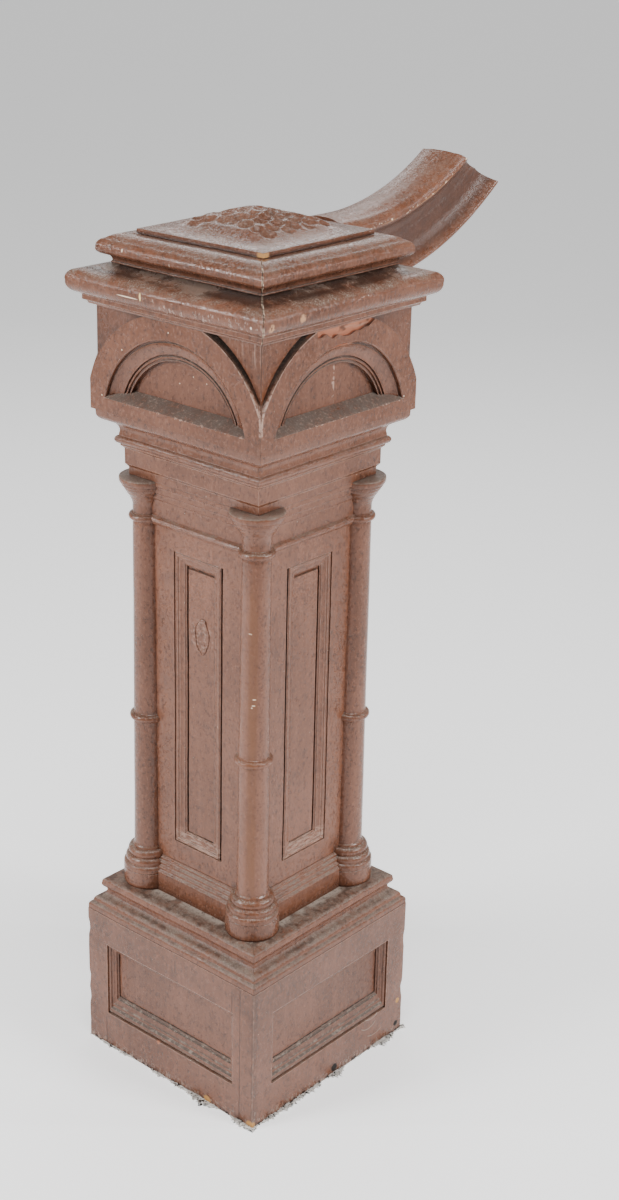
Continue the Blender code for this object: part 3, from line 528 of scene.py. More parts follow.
def sunk_panels(piece, face, panel, depth, inset, sill, field_depth, shift=0.0):
    # cuts the outline of the panel into all four faces, pushes it in and raises its field
    half, low, high = panel
    sliced_square(piece, half, half * 2.0)
    sliced(piece, (0, 0, 1), low, high, high - low)
    for index in range(4):
        turn = Matrix.Rotation(QUARTER * index, 3, "Z")
        back = turn.inverted()
        inward = turn @ Vector((0, 1, 0))
        along = turn @ Vector((shift if index % 2 == 0 else -shift, 0, 0))

        def inside(item):
            spot = back @ item.calc_center_median()
            return abs(spot.y + face) < 1e-5 and abs(spot.x) < half and low < spot.z < high

        with edit(piece):
            pick(piece, "faces", inside)
            extruded(inward * depth)
            bpy.ops.mesh.dissolve_faces()
            bpy.ops.mesh.inset(thickness=inset)
            bpy.ops.transform.resize(
                value=(1.0, 1.0, (high - low - inset - sill) / (high - low - inset * 2.0)),
                center_override=(0.0, 0.0, high - inset),
            )
            bpy.ops.transform.translate(value=along)
            extruded(inward * (field_depth - depth))
    return tidied(piece)


def panel_frame(name, panel, slit, widths, face, depths):
    # a planted moulding round the panel, drawn section by section from its outer edge to its lip
    half, low, high = panel
    width, sill_width = widths
    seat, setback = depths
    rise = seat - setback
    shaped = traced(moulding(PANEL_SHARES, 0.0, width, 0.0, rise) + [(width, 0.0)], 4)
    piece = fresh(name, bpy.ops.mesh.primitive_plane_add, size=1.0)
    spread = sill_width / width

    def corners(inset, lift):
        side = half - slit - inset
        foot = low + CLOSE_FIT + inset * spread
        head = high - CLOSE_FIT - inset
        level = -face + seat - lift
        return [(-side, level, foot), (side, level, foot), (-side, level, head), (side, level, head)]

    last = (0.0, 0.0)
    at_points(piece, corners(*last))
    with edit(piece):
        for inset, lift in shaped:
            before = corners(*last)
            after = corners(inset, lift)
            extruded((0.0, after[0][1] - before[0][1], 0.0))
            was_wide = before[1][0] - before[0][0]
            was_high = before[2][2] - before[0][2]
            ratio_x = (after[1][0] - after[0][0]) / was_wide
            ratio_z = (after[2][2] - after[0][2]) / was_high
            if ratio_x < 1.0:
                # the point that stays put while the upper and lower members shrink by unlike amounts
                still = (before[0][2] * ratio_z - after[0][2]) / (ratio_z - 1.0)
                ratios = (ratio_x, 1.0, ratio_z)
                bpy.ops.transform.resize(value=ratios, center_override=(0.0, 0.0, still))
            last = (inset, lift)
        bpy.ops.mesh.delete(type="ONLY_FACE")
        bpy.ops.mesh.select_mode(type="EDGE")
        pick(piece, "edges", lambda edge: len(edge.link_faces) < 2)
        bpy.ops.mesh.bridge_edge_loops()
    return tidied(piece)


def square_foot(material, moulding_material):
    half = PLINTH_HALF
    piece = box("square_foot", (-half, -half, 0.0), (half, half, PLINTH_TOP))
    inset = PLINTH_SLIT + PLINTH_MOULDING_WIDTH
    sill = PLINTH_SLIT + PLINTH_SILL_WIDTH
    sunk_panels(piece, half, PLINTH_PANEL, PLINTH_PANEL_DEPTH, inset, sill, PLINTH_FIELD_DEPTH)
    rounded(piece, FOOT_EDGE)
    sliced_square(piece, half * 0.96)
    sliced(piece, (0, 0, 1), 0.006, PLINTH_TOP - 0.006, 0.009)
    sliced(piece, (0, 0, 1), 0.002, 0.004, 0.002)
    # the standing corners are knocked hollow here and there, and the lowest edge is frayed
    for vertex in piece.data.vertices:
        x, y, z = vertex.co
        near = max(0.0, 1.0 - (half - min(abs(x), abs(y))) / DENT_REACH)
        dent = max(0.0, noise.noise(Vector((math.copysign(3.0, x), math.copysign(5.0, y), z * 38.0))))
        pull = DENT_DEPTH * near * dent * min(1.0, z / 0.01)
        vertex.co.x -= math.copysign(pull, x)
        vertex.co.y -= math.copysign(pull, y)
        edge = half - FRAY_BAND
        if z < FRAY_HEIGHT and max(abs(x), abs(y)) > edge:
            frayed = max(0.0, noise.noise(Vector((x * 90.0, y * 90.0, 4.0)))) * (1.0 - z / FRAY_HEIGHT)
            vertex.co.x -= math.copysign(FRAY_DEPTH * frayed, x) * (abs(x) > edge)
            vertex.co.y -= math.copysign(FRAY_DEPTH * frayed, y) * (abs(y) > edge)
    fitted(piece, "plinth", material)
    widths = (PLINTH_MOULDING_WIDTH, PLINTH_SILL_WIDTH)
    depths = (PLINTH_PANEL_DEPTH, PLINTH_SETBACK)
    name = "plinth_panel_moulding"
    panel = panel_frame(f"{name}_front_face", PLINTH_PANEL, PLINTH_SLIT, widths, half, depths)
    sliced(panel, (1, 0, 0), -0.1, 0.1)
    on_four_sides(rounded(panel, PANEL_EDGE, 1), name, moulding_material)


def foot_dirt(material):
    # fibre and grit caught under the lower edge
    half = PLINTH_HALF - 0.0006
    piece = box("foot_dirt", (-half, -half, 0.0), (half, half, DIRT_HEIGHT))
    sliced_square(piece, half * 0.995, 0.0019)
    edge = half - 0.001
    for vertex in piece.data.vertices:
        point = vertex.co.copy()
        if max(abs(point.x), abs(point.y)) < edge:
            continue
        clump = noise.noise(point * 38.0) + 0.45
        whisker = abs(noise.noise(point * 420.0 + Vector((7.0, 3.0, point.z * 900.0))))
        out = max(0.0, FRINGE_REACH * clump * (0.35 + 2.0 * whisker))
        vertex.co.x += math.copysign(out, point.x) * (abs(point.x) > edge)
        vertex.co.y += math.copysign(out, point.y) * (abs(point.y) > edge)
        if point.z > 0.001:
            vertex.co.z = 0.0010 + FRINGE_LIFT * max(0.0, clump) * whisker * 2.0
    piece.data.materials.append(material)
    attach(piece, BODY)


def lint(name):
    dirt = Finish(name, LINT, 0.95)
    tuft = dirt.grain(320.0, 4.0, rough=0.75)
    dirt.lay(tuft.rising(0.50, 0.60), (0.62, 0.60, 0.57))
    grit = dirt.grain(210.0, 3.0, rough=0.7, shift=4.0)
    dirt.lay(grit.rising(0.54, 0.60), SOOT_AND_SHADE)
    dirt.relief = dirt.relief + tuft * 0.0008
    return dirt.done()


def foot_top(material):
    neck = PLINTH_HALF - BASE_NECK_SETBACK
    corners = moulding(BASE_SHARES, neck, BASE_NECK_SETBACK, BASE_FOOT, DECK - BASE_FOOT)
    moulded("base_moulding", corners, SHAFT_HALF, PLINTH_HALF, material)


def shield_ridge(face):
    # paint built up round a small shield that once sat on the front panel, and its screw
    torus = bpy.ops.mesh.primitive_torus_add
    segments = {"major_segments": 64, "minor_segments": 8}
    piece = fresh("shield_ridge", torus, major_radius=1.0, minor_radius=0.1, **segments)
    for vertex in piece.data.vertices:
        x, y, z = vertex.co
        angle = math.atan2(y, x)
        thin = math.hypot(x, y) - 1.0
        point = max(0.0, -math.sin(angle)) ** 2
        across = math.cos(angle) * SHIELD_HALF_WIDTH * (1.0 - 0.30 * point)
        up = math.sin(angle) * SHIELD_HALF_HEIGHT * (1.0 + 0.12 * point)
        rough = 1.0 + 0.8 * noise.noise(Vector((across * 300.0, up * 300.0, 1.0)))
        spread = 1.0 + thin * 0.55 * rough
        wave = noise.noise(Vector((up * 120.0, across * 120.0, 6.0))) * 0.0012
        out = max(z, -0.02) * RIDGE_RELIEF * rough
        vertex.co = (0.0015 + across * spread + wave, face - out, SHIELD_LEVEL + up * spread + wave)
    cylinder = bpy.ops.mesh.primitive_cylinder_add
    place = (0.005, face - 0.0001, 0.606)
    screw = fresh("shield_screw", cylinder, vertices=16, radius=0.0016, depth=0.0007, location=place)
    screw.rotation_euler.x = QUARTER
    apply_place()
    piece.select_set(True)
    bpy.context.view_layer.objects.active = piece
    bpy.ops.object.join()
    return piece


def square_shaft(material, moulding_material):
    half = SHAFT_HALF
    piece = box("square_shaft", (-half, -half, BASE_FOOT), (half, half, SHAFT_TOP))
    inset = SHAFT_SLIT + SHAFT_MOULDING_WIDTH + SHAFT_FIELD_SLIT
    sunk_panels(
        piece, half, SHAFT_PANEL, SHAFT_PANEL_DEPTH, inset, inset, SHAFT_FIELD_DEPTH, SHAFT_FIELD_SHIFT
    )
    rounded(piece, SHAFT_EDGE)
    sliced_square(piece, half * 0.95)
    sliced(piece, (0, 0, 1), DECK, SHAFT_TOP - 0.01, 0.016)
    ridge = shield_ridge(-half + SHAFT_FIELD_DEPTH)
    select_only(piece)
    ridge.select_set(True)
    bpy.ops.object.join()
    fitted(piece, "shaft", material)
    widths = (SHAFT_MOULDING_WIDTH, SHAFT_MOULDING_WIDTH)
    depths = (SHAFT_PANEL_DEPTH, SHAFT_SETBACK)
    name = "shaft_panel_moulding"
    panel = panel_frame(f"{name}_front_face", SHAFT_PANEL, SHAFT_SLIT, widths, half, depths)
    sliced(panel, (0, 0, 1), SHAFT_PANEL[1] + 0.02, SHAFT_PANEL[2] - 0.02, 0.016)
    with edit(panel):
        bpy.ops.transform.translate(value=(SHAFT_FRAME_SHIFT, 0.0, 0.0))
    on_four_sides(rounded(panel, PANEL_EDGE, 1), name, moulding_material, True)


def ring(level, radius, swell, half_height, steps=8):
    # a half round ring between two small fillets, from its upper side down
    fillet = radius + swell * 0.22
    ends = [(radius, half_height * 1.5), (fillet, half_height * 1.3), (fillet, half_height * 1.04)]
    points = [(out, level + rise) for out, rise in ends]
    for step in range(steps + 1):
        angle = math.pi * (0.5 - step / steps) * 0.92
        out = radius + swell * (0.35 + 0.65 * math.cos(angle))
        points.append((out, level + half_height * math.sin(angle)))
    return points + [(out, level - rise) for out, rise in reversed(ends)]


def colonnette_profile():
    # from the top of the axis out and down to the foot
    top = SHAFT_TOP
    upper = SHAFT_TOP - UPPER_RING_DROP
    disc = top - 0.012
    bell = disc - 0.021
    down = [
        (0.0, top), (0.0318, top), (0.0331, top - 0.0008), (0.0336, top - 0.0025),
        (0.0334, top - 0.0060), (0.0325, top - 0.0078), (0.0306, top - 0.0086), (0.0303, top - 0.0094),
        (0.0306, top - 0.0108), (0.0300, top - 0.0120), (0.0282, top - 0.0128), (0.0280, disc - 0.0028),
        (0.0268, disc - 0.0048), (0.0250, disc - 0.0074), (0.0247, disc - 0.0084),
        (0.0226, disc - 0.0114), (0.0207, disc - 0.0142), (0.0205, disc - 0.0152),
        (0.0190, disc - 0.0178), (0.0179, bell - 0.0004), (0.0174, bell - 0.0030),
        (NECK_RADIUS, bell - 0.0060),
    ]
    down += ring(upper, NECK_RADIUS, 0.0225 - NECK_RADIUS, 0.0040)
    middle = DECK + MIDDLE_RING
    share = (middle - DECK) / (upper - DECK)
    at_middle = COLUMN_RADIUS + (COLUMN_TOP_RADIUS - COLUMN_RADIUS) * share
    down += [(COLUMN_TOP_RADIUS, upper - 0.009)]
    down += ring(middle, at_middle, 0.0240 - at_middle, 0.0042)
    down += [(COLUMN_RADIUS, DECK + 0.0565)]
    foot = [
        (0.0214, 0.0552), (0.0222, 0.0540), (0.0222, 0.0526), (0.0250, 0.0520), (0.0268, 0.0505),
        (0.0280, 0.0482), (0.0284, 0.0458), (0.0278, 0.0436), (0.0270, 0.0428), (0.0270, 0.0418),
        (0.0288, 0.0412), (0.0304, 0.0398), (0.0314, 0.0376), (0.0316, 0.0352), (0.0310, 0.0332),
        (0.0312, 0.0322), (0.0330, 0.0312), (0.0340, 0.0296), (0.0343, 0.0272), (0.0343, 0.0236),
        (0.0337, 0.0230), (0.0343, 0.0224), (0.0343, 0.0025), (0.0334, 0.0004),
    ]
    down += [(radius, DECK + level) for radius, level in foot]
    return down + [(0.0, DECK + 0.0004)]


def held(profile, close=0.0007):
    # adds points close to the corners of long runs, so that they shade as crisp edges
    points = [profile[0]]
    for (radius, level), (next_radius, next_level) in zip(profile, profile[1:]):
        run = math.hypot(next_radius - radius, next_level - level)
        if run > close * 4:
            for share in (close / run, 1.0 - close / run):
                out = radius + (next_radius - radius) * share
                points.append((out, level + (next_level - level) * share))
        points.append((next_radius, next_level))
    return points


def colonnettes_and_bands(turned_material, band_material, foot_material):
    whole = turned("colonnette_round", held(colonnette_profile()), 56, centre=(AXIS, -AXIS, 0.0))
    corner = box("corner_of_shaft", (-SHAFT_HALF, -SHAFT_HALF, 0.0), (SHAFT_HALF, SHAFT_HALF, ARCH_TOP))
    face = SHAFT_HALF + JOINT
    other = copied(whole, "colonnette_round_left", -QUARTER)
    for name, outline, material in (
        ("foot_moulding", foot_band(face), foot_material),
        ("frieze_moulding", frieze_band(face), band_material),
    ):
        points = [(-AXIS, -out, up) for out, up in outline]
        band = drawn_out(f"{name}_front_face", points, (2.0 * AXIS, 0.0, 0.0))
        cut_by(band, whole)
        cut_by(band, other)
        rounded(tidied(band))
        on_four_sides(sliced(band, (1, 0, 0), -0.06, 0.06), name, material)
    piece = cut_with(whole, corner)
    sliced(piece, (0, 0, 1), DECK + 0.07, SHAFT_TOP - 0.07, 0.02)
    for index, corner_name in enumerate(CORNERS):
        each = copied(piece, f"colonnette_{corner_name}_turned", QUARTER * index)
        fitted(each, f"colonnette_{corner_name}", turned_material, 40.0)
    for each in (piece, other):
        removed(each)


def foot_band(face):
    skirt = face + SKIRT_THICKNESS
    run = (FOOT_MOULDING_HEIGHT - SKIRT_HEIGHT) / FOOT_STEPS
    step_out = SKIRT_THICKNESS / FOOT_STEPS
    corners = [(face, DECK), (skirt, DECK)]
    for step in range(FOOT_STEPS):
        low = DECK + SKIRT_HEIGHT + run * step
        out = skirt - step_out * step
        corners.append((out, low, 0.28))
        corners.append((out - step_out * 0.55, low + run * 0.72))
    corners.append((face + step_out * 0.4, DECK + FOOT_MOULDING_HEIGHT))
    corners.append((face, DECK + FOOT_MOULDING_HEIGHT))
    return traced(corners, 5)


def frieze_band(face):
    low = SHAFT_TOP - UPPER_RING_DROP - ASTRAGAL_HEIGHT / 2
    high = low + ASTRAGAL_HEIGHT
    frieze = face + FRIEZE_THICKNESS
    run = BED_STEPS_HEIGHT / BED_STEPS
    corners = [
        (face, low),
        (frieze, low),
        (frieze + ASTRAGAL_PROJECTION, low + ASTRAGAL_HEIGHT * 0.25, 0.40),
        (frieze + ASTRAGAL_PROJECTION, high - ASTRAGAL_HEIGHT * 0.10),
        (frieze, high),
    ]
    for step in range(BED_STEPS):
        level = SHAFT_TOP - BED_STEPS_HEIGHT + run * step
        out = frieze + BED_STEP_THICKNESS * step
        corners.append((out, level, -0.20))
        corners.append((out + BED_STEP_THICKNESS, level + run * 0.45))
    corners.append((frieze + BED_STEP_THICKNESS * BED_STEPS, SHAFT_TOP))
    corners.append((face, SHAFT_TOP))
    return traced(corners, 4)


def square_fascia(material):
    lip = FASCIA_LIP_HALF
    half = lip - FASCIA_LIP
    neck = half - FASCIA_NECK
    profile = [
        (neck, FASCIA_FOOT), (neck, FASCIA_FOOT + 0.0097), (half, FASCIA_FOOT + 0.0137),
        (half, FASCIA_TOP - 0.0057), (lip - 0.0022, FASCIA_TOP - 0.0043), (lip, FASCIA_TOP - 0.0022),
        (lip, FASCIA_TOP),
    ]
    piece = rounded(stacked("square_fascia", profile), CORNICE_EDGE, 2, 20.0)
    sliced_square(piece, half * 0.94)
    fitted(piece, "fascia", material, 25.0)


def bed_under_arches(material):
    projection = ARCH_HALF - FASCIA_LIP_HALF
    corners = moulding(BED_SHARES, FASCIA_LIP_HALF, projection, BED_FOOT, BED_TOP - BED_FOOT)
    moulded("bed_moulding", corners, CORE_HALF, ARCH_HALF, material)


def arc_over(radius, start, end, steps, widening=0.0):
    points = []
    for step in range(steps + 1):
        share = step / steps
        angle = start + (end - start) * share
        reach = radius + widening * share
        points.append((reach * math.cos(angle), ARCH_CENTRE + reach * math.sin(angle)))
    return points


def arch_opening():
    # radius and distance in from the board's face, from the front of the axis round to the back
    profile = [
        (0.0, 0.010), (OPENING_RADIUS + 0.0004, 0.010), (OPENING_RADIUS + 0.0004, 0.0),
        (OPENING_RADIUS - 0.0008, -0.0012), (OPENING_RADIUS - 0.0012, -0.0056), (0.1138, -0.0058),
        (0.1128, -0.0044), (0.1118, -0.0058), (0.1085, -0.0086), (0.1050, -0.0105), (0.1010, -0.0117),
        (0.0982, -0.0120), (0.0974, -0.0146), (0.0962, -0.0146), (0.0954, -0.0124), (0.0938, -0.0124),
        (0.0930, -0.0152), (0.0917, -0.0154), (0.0908, -0.0140), (0.0900, -0.0142), (0.0900, -0.0300),
        (0.0, -0.0300),
    ]
    centre = (0.0, 0.0, ARCH_CENTRE)
    cutter = turned(
        "arch_opening",
        profile,
        112,
        centre,
        (0.0, 1.0, 0.0),
        lambda radius, out: (radius, -ARCH_HALF - out, ARCH_CENTRE),
    )
    slope = Vector((0.0, SILL_RISE, -(ARCH_HALF - BOARD_BACK)))
    return cut_off(cutter, (0.0, -ARCH_HALF, ARCH_FOOT + SILL_HEIGHT), slope.normalized())


def broken_strip():
    # the outline of the lost strip at the top of the right arch, on the right face
    steps = 26
    ragged = []
    for step in range(steps + 1):
        share = step / steps
        along = BREAK_START + (BREAK_END - BREAK_START) * share
        tooth = 0.70 + 0.55 * noise.noise(Vector((along * 75.0, 2.7, 0.0)))
        bite = BREAK_DEPTH * tooth * math.sin(math.pi * min(1.0, share * 0.92 + 0.08)) ** 0.6
        ragged.append((along, ARCH_TOP - bite))
    outline = ragged + [(BREAK_END, ARCH_TOP + 0.01), (BREAK_START, ARCH_TOP + 0.01)]
    level = ARCH_HALF - BREAK_THICKNESS
    return drawn_out("broken_strip", [(level, y, z) for y, z in outline], (0.02, 0.0, 0.0))


def arch_core(material):
    inner = CORE_HALF - 0.0003
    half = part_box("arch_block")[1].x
    profile = [(inner, BED_FOOT), (inner, ARCH_FOOT), (half, ARCH_FOOT)]
    profile += [(half, ARCH_FOOT + 0.01 * step) for step in range(1, 13)]
    piece = stacked("arch_core", profile + [(half, ARCH_TOP), (inner, ARCH_TOP), (inner, CAP_TOP)])
    sliced_square(piece, half * 0.95, 0.010)
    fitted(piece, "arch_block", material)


def arches(board_material, spandrel_material, broken_material):
    corner = math.acos(ARCH_HALF / EXTRADOS_RADIUS)
    crown = math.asin((ARCH_TOP - ARCH_CENTRE) / EXTRADOS_RADIUS)
    right = arc_over(EXTRADOS_RADIUS, corner, crown, 26)
    left = [(-x, z) for x, z in reversed(right)]
    outline = [(-ARCH_HALF, ARCH_FOOT), (ARCH_HALF, ARCH_FOOT)] + right + left
    thickness = ARCH_HALF - BOARD_BACK
    points = [(x, -ARCH_HALF, z) for x, z in outline]
    board = mitred(drawn_out("arch_board_front_face", points, (0.0, thickness, 0.0)), JOINT)
    rounded(cut_with(board, arch_opening()), BOARD_EDGE)
    sliced(board, (1, 0, 0), -ARCH_HALF * 0.93, ARCH_HALF * 0.93)
    sliced(board, (0, 0, 1), ARCH_FOOT + 0.008, ARCH_TOP - 0.008, 0.011)
    boards = [board]
    for index, side in enumerate(SIDES[1:]):
        boards.append(copied(board, f"arch_board_{side}_face", QUARTER * (index + 1)))
    cut_with(boards[1], broken_strip())
    for side, each in zip(SIDES, boards):
        material = broken_material if side == "right" else board_material
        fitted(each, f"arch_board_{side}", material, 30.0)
    spandrels(spandrel_material)


def spandrel_board(name, foot_gap, top_gap):
    start = math.acos(SPANDREL_HALF / (EXTRADOS_RADIUS + foot_gap))
    end = math.asin((ARCH_TOP - ARCH_CENTRE) / (EXTRADOS_RADIUS + top_gap))
    edge = arc_over(EXTRADOS_RADIUS + foot_gap, start, end, 22, top_gap - foot_gap)
    outline = [(SPANDREL_HALF, ARCH_TOP)] + list(reversed(edge))
    depth = SPANDREL_HALF - SPANDREL_BACK
    piece = drawn_out(name, [(x, -SPANDREL_HALF, z) for x, z in outline], (0.0, depth, 0.0))
    return rounded(mitred(piece, JOINT, (1,)))


def spandrels(material):
    tight = spandrel_board("spandrel_tight", 0.0002, 0.0002)
    opened = spandrel_board("spandrel_open", OPEN_JOINT_FOOT, OPEN_JOINT_TOP)
    for index, side in enumerate(SIDES):
        turn = QUARTER * index
        toward_right = SIDES[(index + 1) % 4]
        toward_left = SIDES[(index - 1) % 4]
        first = opened if side == "front" else tight
        second = opened if side == "right" else tight
        right = copied(first, f"spandrel_{side}_to_{toward_right}", turn)
        mirrored = copied(second, f"spandrel_{side}_to_{toward_left}", mirror=True)
        left = copied(mirrored, mirrored.name + "_turned", turn)
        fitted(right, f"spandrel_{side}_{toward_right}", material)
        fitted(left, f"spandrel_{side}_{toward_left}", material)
        removed(mirrored)
    removed(tight)
    removed(opened)


def cornice_corners():
    projection = CORNICE_HALF - SPANDREL_HALF
    height = CORNICE_TOP - CORNICE_FOOT
    corners = moulding(CORNICE_SHARES, SPANDREL_HALF, projection, CORNICE_FOOT, height)
    return corners + [(CAP_NECK_HALF, CORNICE_TOP)]


def cap_corners():
    projection = CAP_HALF - CAP_NECK_HALF
    corners = moulding(CAP_SHARES, CAP_NECK_HALF, projection, CAP_FOOT, CAP_TOP - CAP_FOOT)
    return corners + [(CORE_HALF + 0.0035, CAP_TOP)]


def cornice_and_cap(cornice_material, cap_material):
    for name, corners, material in (
        ("cornice", cornice_corners(), cornice_material),
        ("cap_moulding", cap_corners(), cap_material),
    ):
        moulded(name, corners, CORE_HALF, PLINTH_HALF + 0.02, material, CORNICE_EDGE, OPEN_MITRE)


def crown_height(x, y):
    # swept sides rising to a low crown, cut with round gouge marks in staggered rows
    reach = (abs(x) ** 5 + abs(y) ** 5) ** 0.2 / PLATE_HALF
    share = max(0.0, 1.0 - reach)
    sweep = PLATE_RISE * (1.0 - reach**1.3) * min(1.0, share * 2.6) ** 0.9 if share else 0.0
    row_pitch = GOUGE_PITCH * 0.87
    scoop = 0.0
    nearest_row = round(y / row_pitch)
    for row in range(nearest_row - 1, nearest_row + 2):
        shift = 0.5 * GOUGE_PITCH * (row % 2)
        nearest = round((x - shift) / GOUGE_PITCH)
        for column in range(nearest - 1, nearest + 2):
            jitter = noise.noise_vector(Vector((row * 3.7, column * 5.3, 1.9))) * GOUGE_JITTER
            centre_x = shift + column * GOUGE_PITCH + jitter.x
            centre_y = row * row_pitch + jitter.y
            size = GOUGE_RADIUS * (1.0 + jitter.z * 40.0)
            if max(abs(centre_x), abs(centre_y)) > GOUGED_HALF:
                continue
            apart = math.hypot(x - centre_x, y - centre_y) / size
            scoop = max(scoop, 1.0 - apart * apart)
    return sweep - GOUGE_DEPTH * scoop


def carved_plate(material):
    cells = 170
    grid = bpy.ops.mesh.primitive_grid_add
    size = 2.0 * PLATE_HALF
    piece = fresh("carved_plate", grid, x_subdivisions=cells, y_subdivisions=cells, size=size)
    for vertex in piece.data.vertices:
        vertex.co.z = PLATE_FOOT + PLATE_RIM + crown_height(vertex.co.x, vertex.co.y)
    with edit(piece, "EDGE"):
        pick(piece, "edges", lambda edge: len(edge.link_faces) == 1)
        extruded((0.0, 0.0, -0.0006))
        ratio = (PLATE_HALF + 0.0007) / PLATE_HALF
        bpy.ops.transform.resize(value=(ratio, ratio, 1.0), center_override=(0.0, 0.0, 0.0))
        extruded((0.0, 0.0, 0.0012 - PLATE_RIM))
        bpy.ops.mesh.edge_face_add()
    tidied(piece)
    piece.rotation_euler.z = math.radians(PLATE_TURN)
    select_only(piece)
    apply_place()
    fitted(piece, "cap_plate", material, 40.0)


def handrail(material):
    half = traced(moulding(RAIL_SHARES, 0.0, RAIL_WIDTH / 2, 0.0, RAIL_HEIGHT), 6)
    section = half + [(-across, up) for across, up in reversed(half[:-1])]
    foot = ARCH_TOP - RAIL_FOOT_DROP
    start = CORE_HALF + 0.018
    points = [(across, start, foot + up) for across, up in section]
    rail = drawn_out("rising_handrail", points, (0.0, RAIL_TURN_START - start, 0.0))
    radius = RAIL_INNER_RADIUS + RAIL_HEIGHT
    centre = Vector((0.0, RAIL_TURN_START, foot + radius))
    angle = math.radians(RAIL_END_ANGLE + RAIL_CUT_LEAN * 0.5)

    def at_turn(item):
        return all(abs(vertex.co.y - RAIL_TURN_START) < MERGE for vertex in item.verts)

    with edit(rail):
        pick(rail, "faces", at_turn)
        bpy.ops.mesh.delete(type="ONLY_FACE")
        bpy.ops.mesh.select_mode(type="EDGE")
        pick(rail, "edges", at_turn)
        bpy.ops.mesh.spin(steps=48, angle=-angle, center=centre, axis=(1.0, 0.0, 0.0))
    end = math.radians(RAIL_END_ANGLE)
    point = centre + Vector((0.0, math.sin(end), -math.cos(end))) * (radius - RAIL_HEIGHT / 2)
    lean = math.radians(RAIL_END_ANGLE + RAIL_CUT_LEAN)
    cut_off(rail, point, Vector((0.0, math.cos(lean), math.sin(lean))))
    outer = [(out + JOINT, up) for out, up in traced(cornice_corners()[5:] + cap_corners())]
    profile = [(outer[0][0], DECK)] + outer + [(outer[-1][0], CAP_TOP + RAIL_HEIGHT)]
    rounded(cut_with(rail, stacked("scribe", profile)), SHAFT_EDGE)
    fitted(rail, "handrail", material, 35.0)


class Reading:
    # a socket whose value can be used in a formula
    def __init__(self, finish, socket):
        self.finish = finish
        self.socket = socket

    def maths(self, operation, *values):
        return self.finish.node("ShaderNodeMath", {"operation": operation}, dict(enumerate(values)))

    def __add__(self, other):
        return self.maths("ADD", self, other)

    def __radd__(self, other):
        return self.maths("ADD", other, self)

    def __sub__(self, other):
        return self.maths("SUBTRACT", self, other)

    def __rsub__(self, other):
        return self.maths("SUBTRACT", other, self)

    def __mul__(self, other):
        return self.maths("MULTIPLY", self, other)

    def __rmul__(self, other):
        return self.maths("MULTIPLY", other, self)

    def __pow__(self, other):
        return self.maths("POWER", self, other)

    def size(self):
        return self.maths("ABSOLUTE", self)

    def least(self, other):
        return self.maths("MINIMUM", self, other)

    def most(self, other):
        return self.maths("MAXIMUM", self, other)

    def rising(self, low, high):
        # 0 below the first value, 1 above the second, and a soft step between them
        settings = {"interpolation_type": "SMOOTHSTEP"}
        sockets = {0: self, 1: low, 2: high, 3: 0.0, 4: 1.0}
        return self.finish.node("ShaderNodeMapRange", settings, sockets)

    def falling(self, low, high):
        return 1.0 - self.rising(low, high)

    def near(self, inner, outer):
        # 1 close to nought on either side of it
        return self.size().falling(inner, outer)


